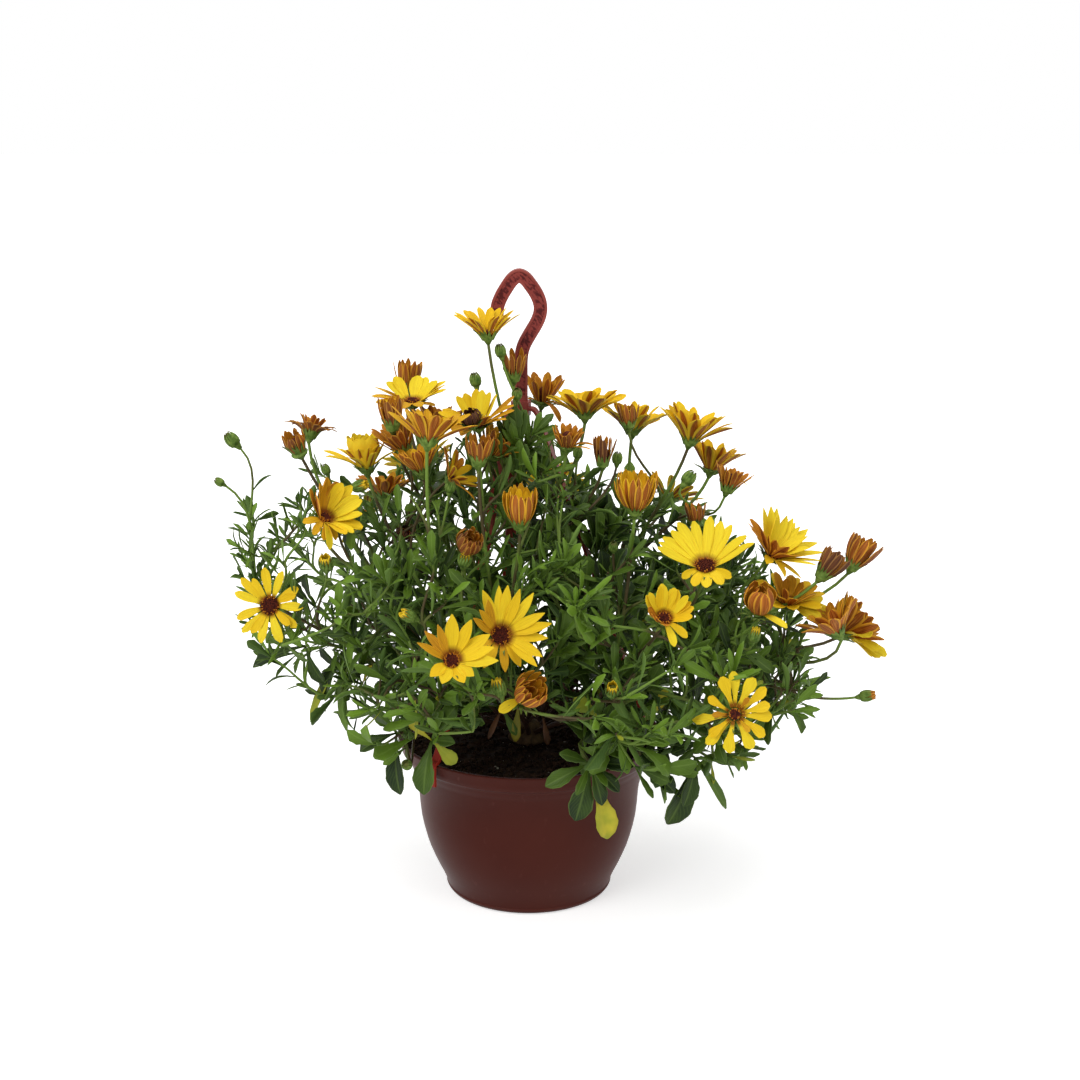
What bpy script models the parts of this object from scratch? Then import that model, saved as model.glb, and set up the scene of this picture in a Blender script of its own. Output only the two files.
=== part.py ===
# A Cape daisy in a hanging basket: a moulded pot, its soil, a clip-on hanger with a hook,
# and the plant as a crown, twelve leafy branches and the flower heads that sit on them.
# Metres, +Z up. The origin is the centre of the pot's flat base, and -Y is the front.

import math
import random

import bmesh
import bpy
import numpy as np
from mathutils import Matrix, Vector

GAP = 0.0003  # between two pieces that touch
MERGE = 1e-6
ROUND_STEPS = 32

# Pot: outside radius and height, from the base's edge up to the rim.
WALL = 0.0020
RIM_RADIUS = 0.1150
RIM_TOP = 0.1430
POT_OUTSIDE = (
    (0.0695, 0.0000),
    (0.0720, 0.0030),
    (0.0770, 0.0160),
    (0.0850, 0.0330),
    (0.0910, 0.0500),
    (0.0952, 0.0690),
    (0.0968, 0.0880),
    (0.1000, 0.1050),
    (0.1055, 0.1220),
    (0.1105, 0.1250),
    (RIM_RADIUS, 0.1410),
    (0.1143, RIM_TOP),
)
RIM_THICK = 0.0032
POT_INSIDE = (
    (0.0700, WALL),
    (0.0750, 0.0160),
    (0.0890, 0.0500),
    (0.0948, 0.0880),
    (0.1025, 0.1200),
    (RIM_RADIUS - RIM_THICK, RIM_TOP),
)
DRAIN_RADIUS = 0.0045
DRAIN_CIRCLE = 0.0450
DRAIN_COUNT = 6
DRAIN_SIDES = 8

# Soil and the crown that stands in it.
SOIL_EDGE = 0.1300
SOIL_TOP = 0.1330
ROOT_RADIUS = 0.0090
ROOT_BOTTOM = 0.1080
ROOT_TAPER = 0.0060
SOIL_PLATEAU = 0.0250  # radius of the flat middle
SOIL_SHOULDER = (0.0700, SOIL_EDGE + 0.0015)
CROWN_BOTTOM = SOIL_TOP + 0.0012
CROWN_FOOT = (0.0180, 0.1360)
CROWN_HEAD = (0.0075, 0.1530)
CROWN_SIDES = 12
SEAT_SHARE = 0.42  # how far up its facet a branch sits

# Hanger: a flat hook over a six-sided hub, and three straps that clip over the rim.
HOOK_AXIS_X = -0.0060
HOOK_WIDTH = 0.0112
HOOK_THICK = 0.0060
HOOK_ROUTE = (
    (-0.0260, 0.5120),
    (-0.0256, 0.5200),
    (-0.0224, 0.5280),
    (-0.0175, 0.5362),
    (-0.0128, 0.5430),
    (-0.0075, 0.5462),
    (-0.0022, 0.5436),
    (0.0022, 0.5378),
    (0.0071, 0.5307),
    (0.0104, 0.5225),
    (0.0106, 0.5147),
    (0.0076, 0.5063),
    (0.0016, 0.4965),
    (-0.0038, 0.4869),
    (HOOK_AXIS_X, 0.4770),
    (HOOK_AXIS_X, 0.4600),
    (HOOK_AXIS_X, 0.4400),
)
HUB_RADIUS = 0.0075
HUB_LOW = 0.4270
HUB_HIGH = 0.4390
HUB_SIDES = 6
HUB_OVERLAP = 0.0020  # how far the hub reaches up into the hook's shank
STRAP_WIDTH = 0.0088
STRAP_THICK = 0.0024
STRAP_DIRECTIONS = {
    "hanger_strap_front_left": -134.0,
    "hanger_strap_right": -14.0,
    "hanger_strap_back": 106.0,
}
CLIP_DROP = 0.0200

# Stems, leaves and flower heads.
MAIN_RADIUS = 0.0022
SIDE_RADIUS = 0.0013
STEM_CLEAR = 0.0016
SAMPLES = 10  # places tested along each straight piece of a stem
SEAT_FREE = 0.009  # the end of a stem that may be near what it sits on
RECEPTACLE = 0.0090  # from a stem's tip to where the petals start
PETALS = 9
PETAL_GIRTH = 0.0036  # kept clear round each petal
PETAL_THICK = 0.0010
NOTCH = 0.40  # how far out the notch between two petals lies
BUD_SIDES = 8
LEAF_THICK = 0.0008
LEAF_WIDTH = 0.13  # half a leaf's width, as a share of its length
LEAF_TRIES = 9
SMALL_BUD = (0.0016, 0.0050, 0.0140)  # radius at its foot, widest radius and length
LEAVES = {  # on each kind of side stem: how many, their lengths, and the stretch that they stand on
    "flower": (1, (0.026, 0.038), (0.25, 0.75)),
    "bud": (1, (0.022, 0.030), (0.20, 0.75)),
    "shoot": (4, (0.030, 0.044), (0.30, 1.00)),
}
GOLDEN_ANGLE = math.radians(137.5)

# name: (place of the disc, tilt from upright, compass of the tilt, spread of the petals, petal length)
FLOWERS = {
    "flower_01": ((-0.033, -0.035, 0.503), 4, 180, 50, 0.030),
    "flower_02": ((0.012, 0.032, 0.433), 8, 0, 30, 0.024),
    "flower_03": ((-0.099, 0.020, 0.434), 8, -90, 58, 0.033),
    "flower_04": ((-0.041, -0.054, 0.432), 14, -120, 64, 0.032),
    "flower_05": ((-0.079, -0.110, 0.431), 15, 60, 52, 0.034),
    "flower_06": ((-0.078, 0.022, 0.408), 10, 60, 40, 0.024),
    "flower_07": ((-0.135, -0.030, 0.389), 8, 150, 45, 0.032),
    "flower_08": ((-0.186, 0.014, 0.408), 20, 60, 45, 0.020),
    "flower_09": ((-0.192, -0.028, 0.403), 25, 220, 25, 0.020),
    "flower_10": ((-0.166, -0.085, 0.360), 40, -40, 55, 0.034),
    "flower_11": ((-0.124, 0.020, 0.352), 10, 90, 58, 0.026),
    "flower_12": ((-0.210, -0.110, 0.293), 72, -100, 85, 0.028),
    "flower_13": ((0.048, -0.002, 0.429), 8, 90, 60, 0.031),
    "flower_14": ((0.090, 0.040, 0.405), 12, 60, 55, 0.030),
    "flower_15": ((0.137, -0.005, 0.407), 14, 10, 52, 0.034),
    "flower_16": ((0.158, 0.030, 0.373), 16, 30, 48, 0.028),
    "flower_17": ((0.032, -0.062, 0.416), 8, -60, 24, 0.020),
    "flower_18": ((0.144, -0.108, 0.326), 22, -95, 72, 0.037),
    "flower_19": ((0.203, -0.050, 0.318), 35, -50, 62, 0.036),
    "flower_20": ((0.188, -0.115, 0.290), 15, -80, 18, 0.026),
    "flower_21": ((0.257, -0.078, 0.260), 30, 165, 46, 0.030),
    "flower_22": ((0.272, -0.014, 0.238), 55, 15, 60, 0.034),
    "flower_23": ((0.107, -0.165, 0.298), 55, -95, 60, 0.024),
    "flower_24": ((0.165, -0.172, 0.222), 70, -95, 85, 0.030),
    "flower_25": ((-0.021, -0.172, 0.288), 60, -80, 72, 0.036),
    "flower_26": ((-0.058, -0.218, 0.283), 50, -85, 58, 0.034),
    "flower_27": ((-0.003, -0.172, 0.236), 50, -50, 20, 0.024),
    "flower_28": ((-0.012, -0.022, 0.466), 4, -90, 12, 0.020),
    "flower_29": ((-0.107, 0.074, 0.434), 6, 30, 16, 0.024),
    "flower_30": ((-0.112, -0.044, 0.429), 4, 180, 16, 0.024),
    "flower_31": ((-0.006, -0.122, 0.366), 4, -90, 20, 0.028),
    "flower_32": ((-0.049, -0.132, 0.348), 45, -60, 16, 0.020),
    "flower_33": ((-0.039, -0.106, 0.414), 6, -60, 22, 0.024),
    "flower_34": ((0.087, -0.100, 0.372), 5, -60, 28, 0.032),
    "flower_35": ((0.277, -0.018, 0.300), 28, 10, 14, 0.026),
    "flower_36": ((0.246, -0.062, 0.305), 42, 20, 16, 0.022),
    "flower_37": ((0.062, -0.050, 0.400), 2, 0, 10, 0.020),
    "flower_38": ((-0.100, 0.170, 0.340), 40, 120, 65, 0.032),
    "flower_39": ((0.020, 0.200, 0.310), 50, 85, 72, 0.034),
    "flower_40": ((0.130, 0.160, 0.312), 35, 50, 60, 0.032),
    "flower_41": ((-0.150, 0.140, 0.300), 60, 150, 80, 0.030),
}
CLOSED_SPREAD = 29  # heads that spread less than this are turned cups and buds

# Branch: (facet of the crown or None for its top, fork, flowers, green buds, leafy shoot tips).
BRANCHES = {
    "branch_centre": (
        None,
        (0.004, 0.012, 0.270),
        ("01", "28", "02", "04", "13", "17", "37"),
        ((-0.023, -0.030, 0.480), (0.041, -0.028, 0.398), (0.075, -0.030, 0.394)),
        ((0.012, -0.030, 0.385), (0.045, 0.045, 0.375), (-0.035, 0.045, 0.385)),
    ),
    "branch_right": (
        0,
        (0.115, -0.020, 0.205),
        ("19", "21", "22", "35", "36"),
        ((0.288, -0.050, 0.190), (0.222, -0.040, 0.284)),
        ((0.250, 0.000, 0.205), (0.238, -0.080, 0.170), (0.175, -0.030, 0.130)),
    ),
    "branch_right_high": (
        30,
        (0.075, 0.035, 0.260),
        ("14", "15", "16"),
        ((0.165, -0.032, 0.372), (0.133, -0.040, 0.380)),
        ((0.185, 0.050, 0.290), (0.130, 0.070, 0.345)),
    ),
    "branch_back_right": (
        60,
        (0.045, 0.085, 0.230),
        ("39", "40"),
        (),
        ((0.120, 0.190, 0.230), (0.210, 0.110, 0.220), (0.070, 0.120, 0.350)),
    ),
    "branch_back_left": (
        120,
        (-0.050, 0.085, 0.230),
        ("38", "41"),
        (),
        ((-0.070, 0.200, 0.240), (-0.170, 0.160, 0.200), (-0.050, 0.120, 0.350)),
    ),
    "branch_left_high": (
        150,
        (-0.065, 0.030, 0.280),
        ("03", "06", "11", "29", "30"),
        (),
        ((-0.150, 0.070, 0.330), (-0.200, 0.080, 0.340)),
    ),
    "branch_left": (
        180,
        (-0.105, 0.000, 0.240),
        ("08", "09"),
        ((-0.251, 0.030, 0.398), (-0.260, 0.000, 0.369)),
        ((-0.255, 0.030, 0.310), (-0.235, 0.010, 0.240)),
    ),
    "branch_left_low": (
        210,
        (-0.100, -0.045, 0.195),
        ("12",),
        ((-0.096, -0.132, 0.170),),
        ((-0.236, -0.055, 0.215), (-0.150, -0.100, 0.150), (-0.180, 0.050, 0.160)),
    ),
    "branch_left_front": (
        240,
        (-0.062, -0.075, 0.245),
        ("05", "07", "10"),
        (),
        ((-0.180, -0.130, 0.270), (-0.110, -0.150, 0.200)),
    ),
    "branch_front": (
        270,
        (-0.018, -0.085, 0.225),
        ("25", "26", "27", "31", "32", "33"),
        (),
        ((-0.070, -0.170, 0.215),),
    ),
    "branch_front_right": (
        300,
        (0.060, -0.085, 0.205),
        ("23", "24", "34"),
        ((0.067, -0.172, 0.240),),
        ((0.062, -0.150, 0.150), (0.120, -0.140, 0.180)),
    ),
    "branch_right_front": (
        330,
        (0.095, -0.060, 0.215),
        ("18", "20"),
        ((0.142, -0.052, 0.355),),
        ((0.200, -0.130, 0.190), (0.165, -0.100, 0.125), (0.160, -0.060, 0.300)),
    ),
}

COLOURS = {
    "pot": ((0.075, 0.022, 0.017, 1), 0.42),
    "soil": ((0.020, 0.013, 0.009, 1), 0.95),
    "hanger": ((0.262, 0.070, 0.062, 1), 0.40),
    "crown": ((0.110, 0.070, 0.035, 1), 0.85),
    "branch": ((0.055, 0.130, 0.022, 1), 0.60),
    "flower": ((0.850, 0.480, 0.015, 1), 0.55),
    "bronze": ((0.420, 0.130, 0.020, 1), 0.55),
}


def clear_scene():
    for thing in list(bpy.data.objects):
        bpy.data.objects.remove(thing, do_unlink=True)


def material(name):
    """The Principled material of that name, made once."""
    found = bpy.data.materials.get(name)
    if found:
        return found
    colour, roughness = COLOURS[name]
    made = bpy.data.materials.new(name)
    made.use_nodes = True
    shader = made.node_tree.nodes["Principled BSDF"]
    shader.inputs["Base Color"].default_value = colour
    shader.inputs["Roughness"].default_value = roughness
    shader.inputs["Metallic"].default_value = 0.0
    return made


def add_object(name, mesh, finish):
    """Puts a bmesh into the scene as an object, and frees it."""
    bmesh.ops.recalc_face_normals(mesh, faces=mesh.faces)
    data = bpy.data.meshes.new(name)
    mesh.to_mesh(data)
    mesh.free()
    data.shade_smooth()
    data.set_sharp_from_angle(angle=math.radians(35))
    data.materials.append(material(finish))
    thing = bpy.data.objects.new(name, data)
    bpy.context.scene.collection.objects.link(thing)
    return thing


def turned(profile, steps, start=0.0):
    """A closed turned body from (radius, height) points that start and end on the axis."""
    mesh = bmesh.new()
    across = Vector((math.cos(start), math.sin(start), 0))
    points = [mesh.verts.new(across * radius + Vector((0, 0, height))) for radius, height in profile]
    edges = [mesh.edges.new(pair) for pair in zip(points, points[1:])]
    bmesh.ops.spin(
        mesh,
        geom=points + edges,
        axis=(0, 0, 1),
        cent=(0, 0, 0),
        angle=2 * math.pi,
        steps=steps,
        use_merge=True,
    )
    bmesh.ops.remove_doubles(mesh, verts=mesh.verts, dist=MERGE)
    return mesh


def lofted(mesh, rings, first_tip=None, last_tip=None):
    """Adds a closed skin over rings of equal count; a tip point closes an end as a cone."""
    loops = [[mesh.verts.new(point) for point in ring] for ring in rings]
    count = len(loops[0])
    for low, high in zip(loops, loops[1:]):
        for i in range(count):
            j = (i + 1) % count
            mesh.faces.new((low[i], low[j], high[j], high[i]))
    for loop, tip in ((loops[0], first_tip), (loops[-1], last_tip)):
        if tip is None:
            mesh.faces.new(loop)
            continue
        point = mesh.verts.new(tip)
        for i in range(count):
            mesh.faces.new((loop[i], loop[(i + 1) % count], point))


def axis_of(tilt, compass):
    """The unit vector that leans from upright by tilt towards compass, both in degrees."""
    lean, turn = math.radians(tilt), math.radians(compass)
    return Vector((math.sin(lean) * math.cos(turn), math.sin(lean) * math.sin(turn), math.cos(lean)))


# ---- pot, soil and crown


def inner_radius(height):
    """The pot's inside radius at a height."""
    radii, heights = zip(*POT_INSIDE)
    return float(np.interp(height, heights, radii))


def make_pot():
    profile = [(0.0, 0.0), *POT_OUTSIDE, *reversed(POT_INSIDE), (0.0, WALL)]
    pot = add_object("pot", turned(profile, ROUND_STEPS), "pot")
    cutters = bmesh.new()
    for k in range(DRAIN_COUNT):
        turn = 2 * math.pi * (k + 0.5) / DRAIN_COUNT
        place = Vector((DRAIN_CIRCLE * math.cos(turn), DRAIN_CIRCLE * math.sin(turn), WALL / 2))
        bmesh.ops.create_cone(
            cutters,
            cap_ends=True,
            segments=DRAIN_SIDES,
            radius1=DRAIN_RADIUS,
            radius2=DRAIN_RADIUS,
            depth=4 * WALL,
            matrix=Matrix.Translation(place),
        )
    cut_with(pot, cutters, "drain_cutters", "DIFFERENCE")


def cut_with(thing, mesh, name, operation):
    """Joins or cuts an object with a helper mesh that stays out of the render."""
    helper = add_object(name, mesh, "pot")
    helper.hide_render = True
    helper.display_type = "WIRE"
    step = thing.modifiers.new(name, "BOOLEAN")
    step.operation = operation
    step.solver = "EXACT"
    step.use_self = operation == "UNION"
    step.object = helper


def make_soil():
    """Fills the pot to just under its rim, with a pit in the middle for the root."""
    low = WALL + GAP
    pit_radius, pit_low = ROOT_RADIUS + GAP, ROOT_BOTTOM - GAP
    heights = [low, *(height for _, height in POT_INSIDE[1:-1]), SOIL_EDGE]
    profile = [(0.0, low), *((inner_radius(z) - 2 * GAP, z) for z in heights), SOIL_SHOULDER]
    profile += [(SOIL_PLATEAU, SOIL_TOP), (pit_radius, SOIL_TOP), (pit_radius, pit_low), (0.0, pit_low)]
    add_object("soil", turned(profile, ROUND_STEPS), "soil")


def make_crown():
    """A woody stump whose upper facets carry the branches."""
    root = ROOT_RADIUS - 0.0002
    profile = [(0.0, ROOT_BOTTOM), (root * 0.6, ROOT_BOTTOM), (root, ROOT_BOTTOM + ROOT_TAPER)]
    profile += [(root, CROWN_BOTTOM), (CROWN_FOOT[0], CROWN_BOTTOM), CROWN_FOOT]
    profile += [CROWN_HEAD, (0.0, CROWN_HEAD[1])]
    half_facet = math.pi / CROWN_SIDES
    add_object("crown", turned(profile, CROWN_SIDES, start=half_facet), "crown")


def crown_seat(facet):
    """Where a branch starts, GAP off its facet of the crown, and the direction it leaves in."""
    if facet is None:
        return Vector((0, 0, CROWN_HEAD[1] + GAP)), Vector((0, 0, 1))
    flat = math.cos(math.pi / CROWN_SIDES)
    run = (CROWN_FOOT[0] - CROWN_HEAD[0]) * flat
    rise = CROWN_HEAD[1] - CROWN_FOOT[1]
    turn = math.radians(facet)
    outward = Vector((math.cos(turn), math.sin(turn), 0))
    normal = (outward * rise + Vector((0, 0, run))).normalized()
    radius = CROWN_FOOT[0] * flat - run * SEAT_SHARE
    place = outward * radius + Vector((0, 0, CROWN_FOOT[1] + rise * SEAT_SHARE))
    return place + normal * GAP, normal


# ---- hanger


def strip_rings(route, side, width, thick):
    """Rectangular rings along a route; width lies along side, and thick across it."""
    rings = []
    for k, point in enumerate(route):
        before = route[max(k - 1, 0)]
        after = route[min(k + 1, len(route) - 1)]
        along = (after - before).normalized()
        across = along.cross(side).normalized()
        half_side, half_across = side * width / 2, across * thick / 2
        rings.append(
            [
                point - half_side - half_across,
                point + half_side - half_across,
                point + half_side + half_across,
                point - half_side + half_across,
            ]
        )
    return rings


def smooth_route(points, passes=1):
    """Halves each corner of a route, and keeps its ends."""
    for _ in range(passes):
        cut = [points[0]]
        for a, b in zip(points, points[1:]):
            cut += [a * 0.75 + b * 0.25, a * 0.25 + b * 0.75]
        points = [*cut, points[-1]]
    return points


def make_hook():
    route = smooth_route([Vector((x, 0, z)) for x, z in HOOK_ROUTE])
    hook = bmesh.new()
    lofted(hook, strip_rings(route, Vector((0, 1, 0)), HOOK_THICK, HOOK_WIDTH))
    hook = add_object("hanger_hook", hook, "hanger")
    hub = bmesh.new()
    turn = math.radians(STRAP_DIRECTIONS["hanger_strap_right"])
    middle = Vector((HOOK_AXIS_X, 0, (HUB_LOW + HUB_HIGH) / 2))
    corner_radius = HUB_RADIUS / math.cos(math.pi / HUB_SIDES)
    bmesh.ops.create_cone(
        hub,
        cap_ends=True,
        segments=HUB_SIDES,
        radius1=corner_radius,
        radius2=corner_radius,
        depth=HUB_HIGH - HUB_LOW + 2 * HUB_OVERLAP,
        matrix=Matrix.Translation(middle) @ Matrix.Rotation(turn, 4, "Z"),
    )
    cut_with(hook, hub, "hub_join", "UNION")


def strap_route(compass):
    """From the hub's face out and down to the rim, over its edge and down outside it."""
    turn = math.radians(compass)
    outward = Vector((math.cos(turn), math.sin(turn), 0))
    hub = Vector((HOOK_AXIS_X, 0, 0))
    middle = (HUB_LOW + HUB_HIGH) / 2
    over = RIM_TOP + GAP + STRAP_THICK / 2
    outside = RIM_RADIUS + GAP + STRAP_THICK / 2
    stations = [
        hub + outward * (HUB_RADIUS + GAP) + Vector((0, 0, middle)),
        hub + outward * (HUB_RADIUS + 0.004) + Vector((0, 0, middle - 0.0002)),
        hub + outward * (HUB_RADIUS + 0.009) + Vector((0, 0, middle - 0.0080)),
        outward * (RIM_RADIUS - 0.0105) + Vector((0, 0, over + 0.0160)),
        outward * (RIM_RADIUS - 0.0050) + Vector((0, 0, over + 0.0040)),
        outward * (RIM_RADIUS - 0.0020) + Vector((0, 0, over + 0.0002)),
        outward * (outside - 0.0004) + Vector((0, 0, over)),
        outward * (outside + 0.0008) + Vector((0, 0, over - 0.0030)),
        outward * (outside + 0.0006) + Vector((0, 0, over - CLIP_DROP)),
    ]
    return stations, outward


def make_straps():
    for name, compass in STRAP_DIRECTIONS.items():
        route, outward = strap_route(compass)
        side = outward.cross(Vector((0, 0, 1)))
        strap = bmesh.new()
        lofted(strap, strip_rings(route, side, STRAP_WIDTH, STRAP_THICK))
        add_object(name, strap, "hanger")


# ---- obstacles: what a stem or a leaf of another piece keeps clear of, as round-ended rods


class Obstacles:
    def __init__(self):
        self.rods = []
        self.owners = []
        self.packed = None

    def add(self, start, end, radius, owner):
        self.rods.append((*start, *end, radius))
        self.owners.append(owner)
        self.packed = None

    def others(self, owner):
        if self.packed is None or self.packed[0] != owner:
            rows = [rod for rod, whose in zip(self.rods, self.owners) if whose != owner]
            self.packed = (owner, np.array(rows))
        return self.packed[1]

    def pushes(self, points, radius, owner):
        """For each point, how far it is too near a rod, and the direction away from it."""
        rods = self.others(owner)
        start, end, thick = rods[:, 0:3], rods[:, 3:6], rods[:, 6]
        run = end - start
        length = np.maximum((run * run).sum(axis=1), 1e-12)
        toward = points[:, None, :] - start[None]
        share = np.clip((toward * run[None]).sum(axis=2) / length, 0, 1)
        away = toward - share[:, :, None] * run[None]
        far = np.sqrt((away * away).sum(axis=2))
        deficit = thick[None] + radius - far
        worst = deficit.argmax(axis=1)
        rows = np.arange(len(points))
        direction = away[rows, worst] / np.maximum(far[rows, worst], 1e-6)[:, None]
        return np.maximum(deficit[rows, worst], 0), direction


obstacles = Obstacles()


def note_hanger():
    hook = [Vector((x, 0, z)) for x, z in HOOK_ROUTE]
    for a, b in zip(hook, hook[1:]):
        obstacles.add(a, b, HOOK_WIDTH / 2, "hanger_hook")
    low = Vector((HOOK_AXIS_X, 0, HUB_LOW))
    obstacles.add(low, hook[-1], HUB_RADIUS * 1.2, "hanger_hook")
    for name, compass in STRAP_DIRECTIONS.items():
        route, _ = strap_route(compass)
        for a, b in zip(route, route[1:]):
            obstacles.add(a, b, STRAP_WIDTH * 0.55, name)


def note_pot():
    """The wall as rings of rods, and the soil's top as spokes."""
    for radius, height in [*POT_OUTSIDE[4::2], (RIM_RADIUS - 0.002, RIM_TOP - 0.002)]:
        for k in range(ROUND_STEPS):
            ends = []
            for step in (k, k + 1):
                turn = 2 * math.pi * step / ROUND_STEPS
                ends.append(Vector((radius * math.cos(turn), radius * math.sin(turn), height)))
            obstacles.add(*ends, 0.0035, "pot")


# ---- flower heads


def frame_of(place, axis):
    """A matrix whose Z axis is the head's axis, with its origin at the stem's tip."""
    turned_to = axis.to_track_quat("Z", "Y").to_matrix().to_4x4()
    return Matrix.Translation(place - axis * RECEPTACLE) @ turned_to


def ring(radius, height, count, shift=0.0):
    turns = [2 * math.pi * (k + shift) / count for k in range(count)]
    return [Vector((radius * math.cos(t), radius * math.sin(t), height)) for t in turns]


def open_head(mesh, spread, length):
    """A star of petals round a shallow disc, over a green cup that narrows to the stem."""
    lean = math.radians(spread)
    out, up = math.sin(lean), math.cos(lean)
    inner, outer = [], []
    count = 2 * PETALS
    for k in range(count):
        reach = length * (1.0 if k % 2 else NOTCH)
        turn = 2 * math.pi * k / count
        round_about = Vector((math.cos(turn), math.sin(turn), 0))
        base = 0.004 + reach * out
        height = RECEPTACLE + reach * up
        inner.append(round_about * base + Vector((0, 0, height)))
        drop = Vector((0, 0, -PETAL_THICK * max(out, 0.3)))
        outer.append(round_about * (base + PETAL_THICK * up) + Vector((0, 0, height)) + drop)
    rings = [ring(0.0014, 0.0, count), ring(0.0052, RECEPTACLE * 0.55, count), outer, inner]
    lofted(mesh, rings, last_tip=Vector((0, 0, RECEPTACLE + 0.0005)))


def closed_head(mesh, spread, length):
    """A cup or bud that is still shut."""
    out = length * math.sin(math.radians(spread))
    rings = [
        ring(0.0014, 0.0, BUD_SIDES),
        ring(0.0056, RECEPTACLE * 0.6, BUD_SIDES),
        ring(0.0058 + out * 0.55, RECEPTACLE + length * 0.40, BUD_SIDES),
        ring(0.0035 + out * 0.90, RECEPTACLE + length * 0.95, BUD_SIDES),
    ]
    lofted(mesh, rings, last_tip=Vector((0, 0, RECEPTACLE + length)))


def make_flowers():
    for name, (place, tilt, compass, spread, length) in FLOWERS.items():
        axis = axis_of(tilt, compass)
        where = frame_of(Vector(place), axis)
        mesh = bmesh.new()
        closed = spread < CLOSED_SPREAD
        (closed_head if closed else open_head)(mesh, spread, length)
        bmesh.ops.transform(mesh, matrix=where, verts=mesh.verts)
        add_object(name, mesh, "bronze" if closed else "flower")
        note_flower(name, where, spread, length, closed)


def note_flower(name, where, spread, length, closed):
    out = length * math.sin(math.radians(spread))
    cup = where @ Vector((0, 0, RECEPTACLE * 0.75))
    obstacles.add(where @ Vector((0, 0, 0.0050)), cup, 0.0052, name)
    if closed:
        mouth = where @ Vector((0, 0, RECEPTACLE + length * 0.9))
        obstacles.add(cup, mouth, 0.006 + out * 0.8, name)
        return
    height = RECEPTACLE + length * math.cos(math.radians(spread))
    for tip in ring(out, height, 2 * PETALS):
        obstacles.add(cup, where @ tip, PETAL_GIRTH, name)


# ---- branches


def bezier(a, b, c, d, count):
    points = []
    for k in range(count + 1):
        t = k / count
        s = 1 - t
        points.append(a * s**3 + b * 3 * s * s * t + c * 3 * s * t * t + d * t**3)
    return points


def settled(points, radius, owner, fixed_start, fixed_end):
    """The route with its corners moved aside, a little at a time, until it clears other pieces."""
    route = np.array([tuple(point) for point in points])
    spans = len(route) - 1
    shares = np.tile(np.arange(SAMPLES) / SAMPLES, spans)[:, None]
    low = np.repeat(np.arange(spans), SAMPLES)
    far = np.linalg.norm(np.diff(route, axis=0), axis=1).sum() / (spans * SAMPLES)
    first, last = round(SEAT_FREE / far), len(low) - round(SEAT_FREE / far)
    for _ in range(120):
        samples = route[low] * (1 - shares) + route[low + 1] * shares
        deficit, direction = obstacles.pushes(samples[first:last], radius + STEM_CLEAR, owner)
        if not deficit.any():
            break
        shift = np.zeros_like(samples)
        shift[first:last] = deficit[:, None] * direction
        moves = np.zeros_like(route)
        np.add.at(moves, low, shift * (1 - shares) * 0.5)
        np.add.at(moves, low + 1, shift * shares * 0.5)
        route[fixed_start : len(route) - fixed_end] += moves[fixed_start : len(route) - fixed_end]
    return [Vector(row) for row in route]


def tube(mesh, route, radii, sides, leaving=None, arriving=None):
    """A round stem along a route, its sides kept from twisting and its ends square to a direction."""
    side = Vector((0, 0, 1)).cross(route[1] - route[0])
    if side.length < 1e-6:
        side = Vector((1, 0, 0))
    rings = []
    for k, point in enumerate(route):
        along = (route[min(k + 1, len(route) - 1)] - route[max(k - 1, 0)]).normalized()
        if k == 0 and leaving:
            along = leaving
        if k == len(route) - 1 and arriving:
            along = arriving
        side = (side - along * side.dot(along)).normalized()
        other = along.cross(side)
        radius = radii[0] + (radii[1] - radii[0]) * k / (len(route) - 1)
        turns = [2 * math.pi * i / sides for i in range(sides)]
        rings.append([point + (side * math.cos(t) + other * math.sin(t)) * radius for t in turns])
    lofted(mesh, rings)


def leaf_room(base, tip, width, owner):
    """Whether a leaf there stays clear of every other piece and of the pot."""
    stalk = np.array([tuple(base.lerp(tip, t)) for t in (0.10, 0.20)])
    points = np.array([tuple(base.lerp(tip, t)) for t in (0.3, 0.5, 0.7, 0.85, 1.0)])
    near_stalk, _ = obstacles.pushes(stalk, width * 0.4 + 0.0008, owner)
    near_blade, _ = obstacles.pushes(points, width + 0.0012, owner)
    if near_stalk.any() or near_blade.any():
        return False
    for x, y, z in points:
        radius = math.hypot(x, y)
        if z < RIM_TOP + 0.003 + width and radius < RIM_RADIUS + 0.006 + width:
            return False
    return True


def leaf(mesh, base, tip, width, flat_side):
    """A pointed leaf, widest past its middle."""
    along = (tip - base).normalized()
    across = along.cross(flat_side).normalized()
    up = across.cross(along)
    wide = base.lerp(tip, 0.58)
    middle = [wide - across * width, wide - up * LEAF_THICK, wide + across * width, wide + up * LEAF_THICK]
    points = [mesh.verts.new(p) for p in middle]
    low, high = mesh.verts.new(base), mesh.verts.new(tip)
    for i in range(4):
        j = (i + 1) % 4
        mesh.faces.new((low, points[j], points[i]))
        mesh.faces.new((high, points[i], points[j]))


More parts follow.
